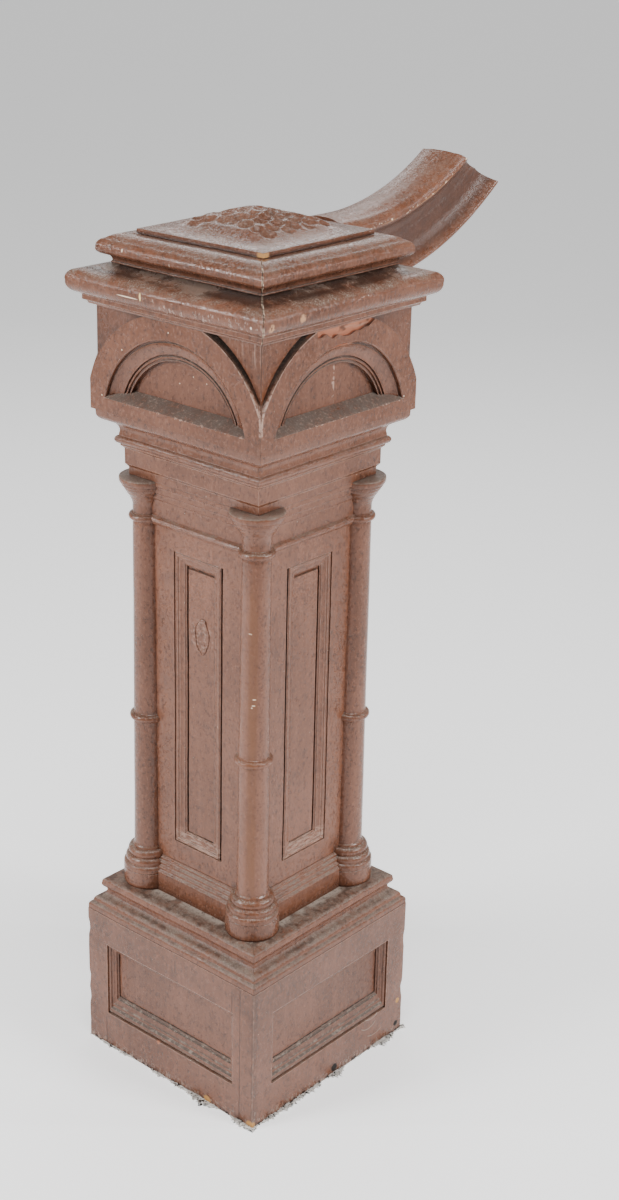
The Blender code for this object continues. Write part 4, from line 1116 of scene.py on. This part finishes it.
class Finish:
    # one material: its nodes, and the colour, roughness and relief laid on so far
    def __init__(self, name, colour, rough):
        self.material = bpy.data.materials.new(name)
        self.material.use_nodes = True
        self.tree = self.material.node_tree
        self.tree.nodes.clear()
        self.place = self.node("ShaderNodeTexCoord", other="Object")
        axes = self.node("ShaderNodeSeparateXYZ", {}, {0: self.place}).socket.node
        self.x, self.y, self.z = (Reading(self, socket) for socket in axes.outputs)
        self.colour = self.node("ShaderNodeRGB")
        self.colour.socket.default_value = colour + (1.0,)
        self.rough = rough
        self.relief = 0.0

    def node(self, kind, settings=None, sockets=None, other=0):
        node = self.tree.nodes.new(kind)
        for name, value in (settings or {}).items():
            setattr(node, name, value)
        for name, value in (sockets or {}).items():
            if isinstance(value, Reading):
                self.tree.links.new(value.socket, node.inputs[name])
            else:
                node.inputs[name].default_value = value
        return Reading(self, node.outputs[other])

    def grain(self, scale, detail=2.0, stretch=(1.0, 1.0, 1.0), rough=0.5, shift=0.0):
        sockets = {0: self.place, 1: (shift, shift, shift), 3: stretch}
        spread = self.node("ShaderNodeMapping", {}, sockets)
        sockets = {"Vector": spread, "Scale": scale, "Detail": detail, "Roughness": rough}
        return self.node("ShaderNodeTexNoise", {}, sockets)

    def mark(self, name):
        return self.node("ShaderNodeAttribute", {"attribute_name": name}, other="Fac")

    def facing(self):
        normal = self.node("ShaderNodeNewGeometry", other="Normal")
        return Reading(self, self.node("ShaderNodeSeparateXYZ", {}, {0: normal}).socket.node.outputs[2])

    def spot(self, centre, reach, soft=0.3, stretch=(1.0, 1.0, 1.0)):
        # 1 within the reach of a place, and 0 outside it
        kind = "ShaderNodeVectorMath"
        offset = self.node(kind, {"operation": "SUBTRACT"}, {0: self.place, 1: centre})
        offset = self.node(kind, {"operation": "MULTIPLY"}, {0: offset, 1: stretch})
        apart = self.node(kind, {"operation": "LENGTH"}, {0: offset}, other=1)
        return apart.falling(reach * (1.0 - soft), reach)

    def blend(self, share, first, second):
        second = second if isinstance(second, Reading) else second + (1.0,)
        sockets = {0: share, 6: first, 7: second}
        return self.node("ShaderNodeMix", {"data_type": "RGBA"}, sockets, other=2)

    def lay(self, share, colour=None, rough=None, rise=0.0):
        # lays a colour, a roughness and a height over what is there, where the share says
        if colour:
            self.colour = self.blend(share, self.colour, colour)
        if rough is not None:
            self.rough = share * rough + (1.0 - share) * self.rough
        if rise:
            self.relief = self.relief + share * rise

    def done(self):
        sockets = {"Strength": 1.0, "Distance": 1.0, "Height": self.relief}
        bump = self.node("ShaderNodeBump", {}, sockets)
        sockets = {"Base Color": self.colour, "Roughness": self.rough, "Normal": bump}
        sockets["Specular IOR Level"] = 0.42
        shader = self.node("ShaderNodeBsdfPrincipled", {}, sockets)
        self.node_out(shader)
        return self.material

    def node_out(self, shader):
        output = self.tree.nodes.new("ShaderNodeOutputMaterial")
        self.tree.links.new(shader.socket, output.inputs["Surface"])


# Colours, as linear red, green and blue
BROWN = (0.134, 0.0455, 0.0200)
DEEP_BROWN = (0.026, 0.0108, 0.0068)
RUBBED_AND_SHEEN_BROWN = (0.235, 0.096, 0.056)
STRIPE_BROWN = (0.160, 0.060, 0.024)
PALE_EDGE = (0.36, 0.225, 0.17)
CHIP = (0.78, 0.60, 0.44)
OCHRE = (0.46, 0.23, 0.07)
BARE_WOOD = (0.36, 0.135, 0.075)
DUST = (0.150, 0.112, 0.088)
PALE_DUST = (0.34, 0.275, 0.225)
SILL_DUST = (0.075, 0.056, 0.046)
SOOT_AND_SHADE = (0.006, 0.003, 0.002)
LINT = (0.58, 0.55, 0.51)


def old_paint(name, dust, wear_and_sheen, tone, marks=None):
    # brown oil paint over many older coats, with dust where it looks up; painted shade darkens its
    # sheltered spots and creases, and its rounded edges are painted paler, partly as rubbed paint and
    # partly as painted highlight
    paint = Finish(name, BROWN, 0.21)
    paint.lay(tone, DEEP_BROWN)
    broad = paint.grain(7.0, 3.0)
    paint.lay(broad.rising(0.34, 0.70) * 0.40, RUBBED_AND_SHEEN_BROWN)
    streak = paint.grain(75.0, 4.0, (1.0, 1.0, 0.06), 0.65)
    paint.lay(streak.rising(0.45, 0.72) * 0.30, RUBBED_AND_SHEEN_BROWN, 0.27, 0.00006)
    cloudy = paint.grain(48.0, 4.0, rough=0.65, shift=4.0)
    paint.lay(cloudy.rising(0.48, 0.72) * 0.30, DEEP_BROWN, 0.25, -0.00020)
    # fine pale and dark speckle: partly the paint's fine texture, partly painted sparkle of its gloss
    # over that texture
    weave = paint.grain(290.0, 3.0, (1.0, 1.0, 0.7), 0.7)
    paint.lay(weave.rising(0.48, 0.70) * 0.62, RUBBED_AND_SHEEN_BROWN, 0.27, 0.00036)
    pepper = paint.grain(250.0, 3.0, (1.0, 1.0, 0.7), 0.7, 8.0)
    paint.lay(pepper.rising(0.50, 0.70) * 0.58, DEEP_BROWN, 0.22, -0.00030)
    upward = paint.facing().rising(0.30, 0.85)
    sheltered = paint.mark("sheltered")
    close = sheltered.rising(0.20, 0.80)
    # painted shade: spots hemmed in by neighbouring parts are darkened, less where they face up
    paint.lay(close * (1.0 - upward * 0.9) * 0.85, DEEP_BROWN, 0.45)
    patchy = paint.grain(34.0, 5.0, (1.0, 1.0, 0.6), 0.72, 7.0)
    fine = paint.grain(520.0, 3.0, rough=0.7, shift=3.0)
    lying = upward * (patchy * 1.7 + close * 0.5 + fine * 0.7 - 0.85).rising(0.0, 0.75)
    paint.lay(lying * dust, DUST, 0.78, 0.00006)
    paint.lay(lying * fine.rising(0.47, 0.62) * dust * 0.7, PALE_DUST, 0.85, 0.00012)
    rounding = paint.mark("rounded_edge")
    crease_shade = rounding * sheltered.rising(0.22, 0.40)
    # painted shade: the rounded faces of inner corners and creases are painted near black
    paint.lay(crease_shade * 0.85, SOOT_AND_SHADE, 0.5)
    edge = rounding - crease_shade
    edge_breakup = paint.grain(120.0, 4.0, rough=0.7, shift=5.0)
    # the rounded edges are painted paler: partly rubbed paint, partly painted highlight where the edges
    # would catch the light
    paint.lay(edge * (edge_breakup.rising(0.36, 0.70) * 0.7 + 0.3) * wear_and_sheen, PALE_EDGE, 0.22)
    chips = paint.grain(240.0, 3.0, rough=0.75, shift=9.0)
    paint.lay((edge * 0.075 * wear_and_sheen + chips).rising(0.735, 0.755) * 0.8, CHIP, 0.6, -0.00015)
    if marks:
        marks(paint)
    return paint.done()


def near_corner(paint, reach):
    # the standing corner that faces the viewer
    return (paint.x + paint.y).near(reach * 0.5, reach) * paint.x.rising(0.09, 0.092)


def mitre_filler(paint):
    crumbs = paint.grain(330.0, 3.0, (1.0, 1.0, 0.4), 0.7)
    paint.lay(near_corner(paint, 0.0019) * crumbs.rising(0.50, 0.58), CHIP, 0.7, 0.0003)
    paint.lay(near_corner(paint, 0.0010) * crumbs.falling(0.40, 0.50), SOOT_AND_SHADE, 0.7, -0.0004)


def dark_wash(paint):
    # damp and soot have stained the sloping top of the cornice
    upward = paint.facing().rising(0.55, 0.90)
    stain = paint.grain(26.0, 5.0, rough=0.60, shift=12.0)
    outward = paint.x.size().most(paint.y.size())
    inner = upward * outward.falling(0.136, 0.149)
    paint.lay(inner * stain.rising(0.40, 0.58) * 0.85, DEEP_BROWN, 0.20)
    paint.lay(inner * stain.falling(0.38, 0.50) * 0.45, DUST, 0.80)


def cornice_marks(paint):
    paint.lay(GLOSS, None, 0.13)
    dark_wash(paint)
    mitre_filler(paint)
    gash = paint.spot((-0.031, -0.156, 1.0405), 0.0055, 0.3, (3.4, 0.5, 1.0))
    paint.lay(gash, (0.80, 0.58, 0.26), 0.7, -0.0004)
    line = paint.spot((-0.052, -0.156, 1.037), 0.019, 0.3, (1.0, 0.5, 24.0))
    paint.lay(line, CHIP, 0.6, -0.0002)
    glints = paint.grain(230.0, 3.0, (1.0, 1.0, 0.45), 0.7, 1.0)
    nose = paint.y.falling(-0.154, -0.151) * paint.x.rising(-0.035, -0.015)
    nose = nose * paint.z.falling(1.040, 1.043)
    # painted highlights: pale glints along the nose, each set in a small dent
    paint.lay(nose * glints.rising(0.56, 0.62) * 0.40, (0.55, 0.40, 0.33), 0.20, -0.0005)
    for along, high in ((-0.143, 1.036), (-0.093, 1.039)):
        bruise = paint.spot((0.156, along, high), 0.0065, 0.6) * glints.rising(0.42, 0.54)
        paint.lay(bruise, (0.42, 0.22, 0.11), 0.5)
    for along, level in ((0.010, 1.046), (0.018, 1.046), (0.083, 1.045)):
        paint.lay(paint.spot((0.1545, along, level), 0.0014), CHIP, 0.6)
    for across in (0.138, 0.146):
        filler = paint.spot((across, -0.155, 1.036), 0.0022) * glints.rising(0.42, 0.50)
        paint.lay(filler, (0.85, 0.72, 0.60), 0.5)


def cap_marks(paint):
    paint.lay(GLOSS, None, 0.12)
    mitre_filler(paint)
    for across, level in ((-0.086, 1.080), (-0.010, 1.076), (0.052, 1.088)):
        paint.lay(paint.spot((across, -0.130, level), 0.0018, 0.6, (1.0, 1.0, 0.6)), CHIP, 0.5)


def plate_marks(paint):
    paint.lay(GLOSS, None, 0.18)
    ochre = (paint.x - paint.y).rising(0.183, 0.188) * paint.facing().falling(0.5, 0.9)
    paint.lay(ochre, OCHRE, 0.6)
    nicks = paint.grain(70.0, 2.0, shift=15.0)
    rim = paint.mark("rounded_edge")
    paint.lay(rim * nicks.rising(0.62, 0.64), SOOT_AND_SHADE, 0.8)


def sill_dust(paint):
    # dust lies thick on the sloping sills
    grey = paint.grain(190.0, 4.0, rough=0.7, shift=2.0)
    sill = paint.facing().rising(0.12, 0.40)
    paint.lay(sill * grey.rising(0.20, 0.48) * 0.90, SILL_DUST, 0.85, 0.0002)
    paint.lay(sill * grey.rising(0.46, 0.66) * 0.65, PALE_DUST, 0.9, 0.0002)


def plinth_marks(paint):
    crumbs = paint.grain(210.0, 3.0, (1.0, 1.0, 0.5), 0.7, 2.0)
    corner = paint.x.rising(0.14, 0.142)
    chipped = (paint.x + paint.y - 0.004).near(0.001, 0.0035) * corner
    paint.lay(chipped * crumbs.rising(0.56, 0.64) * paint.z.falling(0.130, 0.190) * 0.7, PALE_EDGE, 0.6)
    band = (paint.x + paint.y - 0.002).near(0.0035, 0.0075) * corner
    paint.lay(band * crumbs.rising(0.30, 0.60) * 0.45, DEEP_BROWN, 0.25)
    low = paint.z.falling(0.0, 0.016)
    paint.lay(low * crumbs.rising(0.50, 0.62) * 0.6, PALE_DUST, 0.8)
    paint.lay(paint.z.falling(0.002, 0.009) * crumbs.falling(0.42, 0.50), SOOT_AND_SHADE, 0.9)
    along = paint.x.size().least(paint.y.size()).falling(PLINTH_PANEL[0], PLINTH_PANEL[0] + 0.0008)
    lip = (paint.z - PLINTH_PANEL[2] - 0.0004).near(0.0003, 0.0012) * along
    paint.lay(lip * crumbs.rising(0.36, 0.50) * 0.75, PALE_EDGE, 0.3, 0.0002)
    for centre, reach, colour in (
        ((0.146, -0.150, 0.004), 0.0080, OCHRE),
        ((0.070, -0.150, 0.005), 0.0070, OCHRE),
        ((0.150, 0.140, 0.050), 0.0045, OCHRE),
        ((-0.019, -0.150, 0.050), 0.0032, BARE_WOOD),
        ((0.150, 0.009, 0.010), 0.0070, SOOT_AND_SHADE),
        ((0.150, 0.138, 0.014), 0.0050, SOOT_AND_SHADE),
    ):
        paint.lay(paint.spot(centre, reach, 0.35) * crumbs.rising(0.34, 0.42), colour, 0.7, -0.0003)
    for across, low_end, high_end in (
        (0.013, 0.168, 0.192),
        (0.113, 0.133, 0.186),
        (-0.117, 0.0, 0.046),
        (0.127, 0.0, 0.2),
    ):
        seam = (paint.x - across).near(0.0003, 0.0009) * paint.z.rising(low_end, low_end + 0.003)
        seam = seam * paint.z.falling(high_end - 0.003, high_end) * paint.y.falling(-0.149, -0.147)
        paint.lay(seam * 0.7, DEEP_BROWN, 0.6, -0.0003)
    # fine curved scratches on the lower rail of the right face
    for level, along, bow in ((0.020, 0.092, 0.030), (0.035, 0.079, 0.022), (0.048, 0.085, 0.026)):
        span = ((paint.y - along) ** 2.0 + (paint.z - level - bow) ** 2.0) ** 0.5
        scratch = (span - bow).near(0.0002, 0.0006) * paint.x.rising(0.148, 0.149)
        scratch = scratch * (paint.y - along).near(0.012, 0.016)
        scratch = scratch * paint.z.falling(level + 0.012, level + 0.016)
        paint.lay(scratch * 0.8, PALE_DUST, 0.7)


def base_marks(paint):
    fringe = paint.grain(300.0, 3.0, rough=0.7, shift=2.0)
    level = paint.facing().rising(0.5, 0.9)
    crease = paint.mark("sheltered").rising(0.30, 0.60) * level
    paint.lay(level * fringe.rising(0.36, 0.60) * 0.55, DUST, 0.85, 0.0002)
    coarse = paint.grain(90.0, 4.0, rough=0.7, shift=3.0)
    paint.lay(level * coarse.falling(0.40, 0.52) * 0.55, DEEP_BROWN, 0.4)
    paint.lay(crease * fringe.rising(0.34, 0.52) * 0.85, PALE_DUST, 0.9, 0.0003)


def colonnette_marks(paint):
    paint.lay(GLOSS, None, 0.12)
    grey = paint.grain(220.0, 3.0, rough=0.7, shift=6.0)
    top = paint.z.rising(SHAFT_TOP - 0.0022, SHAFT_TOP - 0.0010)
    paint.lay(top * grey.rising(0.25, 0.60) * 0.8, DUST, 0.8)
    paint.lay(top * grey.rising(0.52, 0.64) * 0.4, PALE_DUST, 0.8)
    # an orange-brown stripe down the middle of the colonnette that faces the viewer, and the sides of
    # that face painted lighter as painted sheen
    aim = math.radians(-55.6)
    from_x = paint.x - AXIS
    from_y = paint.y + AXIS
    outward = from_x * math.cos(aim) + from_y * math.sin(aim)
    across = from_y * math.cos(aim) - from_x * math.sin(aim)
    patchy = paint.grain(40.0, 4.0, (1.0, 1.0, 0.15), 0.6)
    face = outward.rising(0.006, 0.010) * paint.x.rising(0.05, 0.06) * paint.y.falling(-0.06, -0.05)
    face = face * paint.z.rising(0.295, 0.315) * paint.z.falling(0.68, 0.74)
    middle = across.near(0.0035, 0.0075)
    paint.lay(face * middle * patchy.rising(0.30, 0.60) * 0.8, STRIPE_BROWN, 0.30)
    # painted sheen: the sides of the face turned to the viewer are painted lighter, where the lamps'
    # reflections would lie
    paint.lay(face * (0.35 - middle * 0.35), RUBBED_AND_SHEEN_BROWN)
    specks = paint.grain(300.0, 2.0, shift=4.0)
    side = face * (across - 0.0105).near(0.003, 0.006) * paint.z.rising(0.34, 0.42)
    paint.lay(side * specks.rising(0.54, 0.62) * 0.4, DEEP_BROWN, 0.4)
    for level, shift in ((0.655, -0.004), (0.563, 0.001), (0.571, 0.002), (0.560, -0.002)):
        nick = (paint.z - level).near(0.0003, 0.0010) * (across - shift).near(0.0010, 0.0026)
        paint.lay(nick * face * specks.rising(0.36, 0.46), CHIP, 0.6)


def arch_marks(paint):
    crumbs = paint.grain(230.0, 3.0, rough=0.7, shift=2.0)
    outer = paint.x.size().most(paint.y.size()).rising(ARCH_HALF - 0.004, ARCH_HALF - 0.0015)
    lip = (paint.z - ARCH_FOOT - SILL_HEIGHT).near(0.0006, 0.0018) * outer
    inside = paint.x.size().least(paint.y.size()).falling(0.108, 0.112)
    sill = paint.facing().rising(0.3, 0.7) * inside
    paint.lay(sill * crumbs.rising(0.36, 0.50) * 0.75, SILL_DUST, 0.8)
    paint.lay(lip * inside * crumbs.rising(0.56, 0.62) * 0.8, PALE_EDGE, 0.5)
    joint = near_corner(paint, 0.0040) * paint.z.rising(0.908, 0.912)
    paint.lay(joint * crumbs.rising(0.42, 0.50) * 0.8, PALE_EDGE, 0.35)
    # pale lines along the edges beside the open joints of the front and right faces: partly worn paint,
    # partly painted highlight along the rounded edge
    rise = (paint.z - ARCH_CENTRE) ** 2.0
    front = paint.y.falling(-ARCH_HALF + 0.0015, -ARCH_HALF + 0.0045)
    right = paint.x.rising(ARCH_HALF - 0.0045, ARCH_HALF - 0.0015)
    for across, face in ((paint.x, front), (0.0 - paint.y, right)):
        rim = (rise + across ** 2.0) ** 0.5 - EXTRADOS_RADIUS
        rim = rim.rising(-0.0016, -0.0006) * face * across.rising(0.03, 0.06)
        paint.lay(rim * crumbs.rising(0.40, 0.50) * 0.75, PALE_EDGE, 0.3)
    for place in (
        (-0.117, -0.137, 0.906), (-0.111, -0.137, 0.9055), (-0.006, -0.137, 1.001),
        (-0.082, -0.137, 0.967), (0.137, 0.108, 0.906), (0.137, 0.114, 0.9065), (0.137, 0.120, 0.978),
    ):
        paint.lay(paint.spot(place, 0.0011, 0.5) * crumbs.rising(0.35, 0.45), CHIP, 0.6)


def spandrel_marks(paint):
    drag = paint.grain(130.0, 4.0, (1.0, 1.0, 0.10), 0.7, 6.0)
    front = paint.y.falling(-0.129, -0.127) * paint.x.rising(0.06, 0.08)
    paint.lay(front * drag.rising(0.52, 0.66) * 0.5, PALE_EDGE, 0.35, 0.0001)


def tympanum_marks(paint):
    for place in ((-0.008, -0.117, 0.938), (0.035, -0.117, 0.946), (0.014, -0.117, 0.950)):
        paint.lay(paint.spot(place, 0.0008), CHIP, 0.6)
    dots = paint.grain(190.0, 2.0, shift=3.0)
    line = (paint.y - 0.006).near(0.001, 0.003) * paint.x.rising(0.115, 0.116)
    paint.lay(line * paint.z.rising(0.92, 0.93) * dots.rising(0.54, 0.60), PALE_EDGE, 0.5)


def shaft_marks(paint):
    # sandy rubbing at the heads of the panel fields, and sags of old paint at their feet
    sandy = paint.grain(260.0, 3.0, rough=0.7, shift=5.0)
    field = paint.x.size().least(paint.y.size()).falling(0.022, 0.025)
    head = paint.z.rising(0.62, 0.69) * field
    paint.lay(head * sandy.rising(0.47, 0.60) * 0.6, RUBBED_AND_SHEEN_BROWN, 0.5)
    place = paint.spot((0.0, -0.0895, 0.617), 0.030, 0.6)
    paint.lay(place * sandy.rising(0.50, 0.62) * 0.5, PALE_EDGE, 0.3)


def panel_sags(paint):
    drag = paint.grain(420.0, 3.0, (0.22, 0.22, 1.0), 0.7, 6.0)
    foot = paint.z.falling(0.338, 0.344)
    paint.lay(foot * drag.rising(0.42, 0.60) * 0.6, PALE_EDGE, 0.30, 0.0004)


def handrail_marks(paint):
    # the hollow side is painted darker as painted shade, and the groove above it has lost some paint
    radius = RAIL_INNER_RADIUS + RAIL_HEIGHT
    foot = ARCH_TOP - RAIL_FOOT_DROP
    beyond = (paint.y - RAIL_TURN_START).most(0.0)
    reach = (beyond ** 2.0 + (paint.z - foot - radius) ** 2.0) ** 0.5
    level = radius - reach
    cove = level.rising(0.006, 0.014) * level.falling(0.066, 0.071)
    rail_blotches = paint.grain(22.0, 4.0, (1.0, 0.4, 1.0), 0.65, 3.0)
    # painted shade in the cove
    paint.lay(cove * (0.35 + rail_blotches * 0.6), DEEP_BROWN, 0.38)
    groove = (level - 0.0718).near(0.0004, 0.0016)
    paint.lay(groove * rail_blotches.rising(0.46, 0.56) * 0.6, OCHRE, 0.5)
    crumbs = paint.grain(200.0, 3.0, shift=2.0)
    paint.lay((level - 0.0725).near(0.001, 0.0035) * crumbs.rising(0.60, 0.63), CHIP, 0.6)


def bare_break(paint):
    # torn wood where the strip above the right arch is lost
    behind = (0.0 - paint.x).rising(-ARCH_HALF + 0.0008, -ARCH_HALF + 0.0022)
    behind = behind * paint.x.rising(ARCH_HALF - 0.006, ARCH_HALF - 0.0055)
    torn = behind * paint.z.rising(ARCH_TOP - 0.026, ARCH_TOP - 0.024) * paint.y.near(0.060, 0.062)
    fibre = paint.grain(160.0, 4.0, (1.0, 0.12, 1.0), 0.7)
    paint.lay(torn, BARE_WOOD, 0.8)
    paint.lay(torn * fibre.rising(0.54, 0.66) * 0.7, PALE_EDGE, 0.8, 0.0004)
    pits = paint.grain(70.0, 2.0, (1.0, 0.5, 1.0), shift=6.0)
    paint.lay(torn * pits.rising(0.56, 0.66) * 0.7, SOOT_AND_SHADE, 0.9, -0.0006)


def broken_arch_marks(paint):
    arch_marks(paint)
    bare_break(paint)


def pale_floor():
    # a little light of its own keeps the floor near white
    floor = Finish("pale_floor", (0.93, 0.93, 0.93), 0.8)
    shader = {"Base Color": floor.colour, "Roughness": 0.8, "Emission Strength": 0.55}
    shader["Emission Color"] = (1.0, 1.0, 1.0, 1.0)
    floor.node_out(floor.node("ShaderNodeBsdfPrincipled", {}, shader))
    return floor.material


def softbox(name, place, target, size, power):
    light = bpy.data.lights.new(name, "AREA")
    light.shape = "RECTANGLE"
    light.size, light.size_y = size
    light.energy = power
    lamp = bpy.data.objects.new(name, light)
    lamp.location = place
    lamp.rotation_euler = (Vector(target) - Vector(place)).to_track_quat("-Z", "Y").to_euler()
    bpy.context.scene.collection.objects.link(lamp)


def studio():
    floor = fresh("studio_floor", bpy.ops.mesh.primitive_plane_add, size=60.0)
    floor.data.materials.append(pale_floor())
    world = bpy.data.worlds.new("studio")
    bpy.context.scene.world = world
    world.use_nodes = True
    background = world.node_tree.nodes["Background"]
    background.inputs["Color"].default_value = (1.0, 1.0, 1.0, 1.0)
    background.inputs["Strength"].default_value = 0.28
    middle = (0.0, 0.0, 0.6)
    softbox("left_softbox", (-1.1, -2.5, 1.9), middle, (0.9, 1.5), 80.0)
    softbox("right_softbox", (2.6, 0.6, 1.9), middle, (0.8, 1.5), 74.0)
    softbox("left_strip", (-1.75, -2.05, 1.6), middle, (0.16, 0.9), 17.0)
    softbox("right_strip", (2.0, 1.5, 1.6), middle, (0.16, 0.9), 16.0)
    softbox("back_softbox", (-1.9, 2.1, 2.4), (0.0, 0.0, 1.0), (2.4, 0.8), 26.0)
    softbox("top_softbox", (0.6, -0.6, 3.3), middle, (1.0, 1.0), 46.0)


def photo_camera():
    # the place and the angles of the photo's camera; the camera looks down and leans a little
    place = (1.4716686, -1.6004269, 1.5315453)
    azimuth, pitch, roll = (math.radians(angle) for angle in (40.703, 22.295, 1.417))
    away = Vector((-math.sin(azimuth), math.cos(azimuth), 0.0))
    forward = away * math.cos(pitch) - Vector((0.0, 0.0, math.sin(pitch)))
    right = Vector((math.cos(azimuth), math.sin(azimuth), 0.0))
    up = right.cross(forward)
    tilted_right = right * math.cos(roll) + up * math.sin(roll)
    tilted_up = up * math.cos(roll) - right * math.sin(roll)
    data = bpy.data.cameras.new("photo_view")
    data.lens = 56.69
    data.sensor_width = 36.0
    camera = bpy.data.objects.new("photo_view", data)
    turn = Matrix((tilted_right, tilted_up, -forward)).transposed().to_4x4()
    camera.matrix_world = Matrix.Translation(place) @ turn
    bpy.context.scene.collection.objects.link(camera)
    bpy.context.scene.camera = camera


arch_core(old_paint("tympanum_paint", 0.3, 0.3, 0.30, tympanum_marks))
square_foot(
    old_paint("plinth_paint", 0.6, 0.7, 0.30, plinth_marks),
    old_paint("plinth_panel_paint", 1.0, 0.7, 0.30, sill_dust),
)
foot_dirt(lint("lint_and_grit"))
foot_top(old_paint("base_paint", 1.0, 0.6, 0.15, base_marks))
square_shaft(
    old_paint("shaft_paint", 0.5, 0.5, 0.08, shaft_marks),
    old_paint("shaft_panel_paint", 0.7, 0.8, 0.10, panel_sags),
)
colonnettes_and_bands(
    old_paint("colonnette_paint", 0.8, 0.5, 0.25, colonnette_marks),
    old_paint("frieze_paint", 0.6, 0.6, 0.18),
    old_paint("foot_paint", 0.9, 0.8, 0.15),
)
square_fascia(old_paint("fascia_paint", 0.5, 0.5, 0.28))
bed_under_arches(old_paint("bed_paint", 0.4, 0.6, 0.20))
arches(
    old_paint("arch_paint", 0.9, 0.9, 0.25, arch_marks),
    old_paint("spandrel_paint", 0.3, 0.9, 0.15, spandrel_marks),
    old_paint("broken_arch_paint", 0.9, 0.9, 0.25, broken_arch_marks),
)
cornice_and_cap(
    old_paint("cornice_paint", 0.7, 0.6, 0.30, cornice_marks),
    old_paint("cap_paint", 0.35, 0.6, 0.35, cap_marks),
)
carved_plate(old_paint("plate_paint", 0.30, 0.25, 0.38, plate_marks))
handrail(old_paint("handrail_paint", 0.3, 0.6, 0.15, handrail_marks))
sheltered_marks()
studio()
photo_camera()
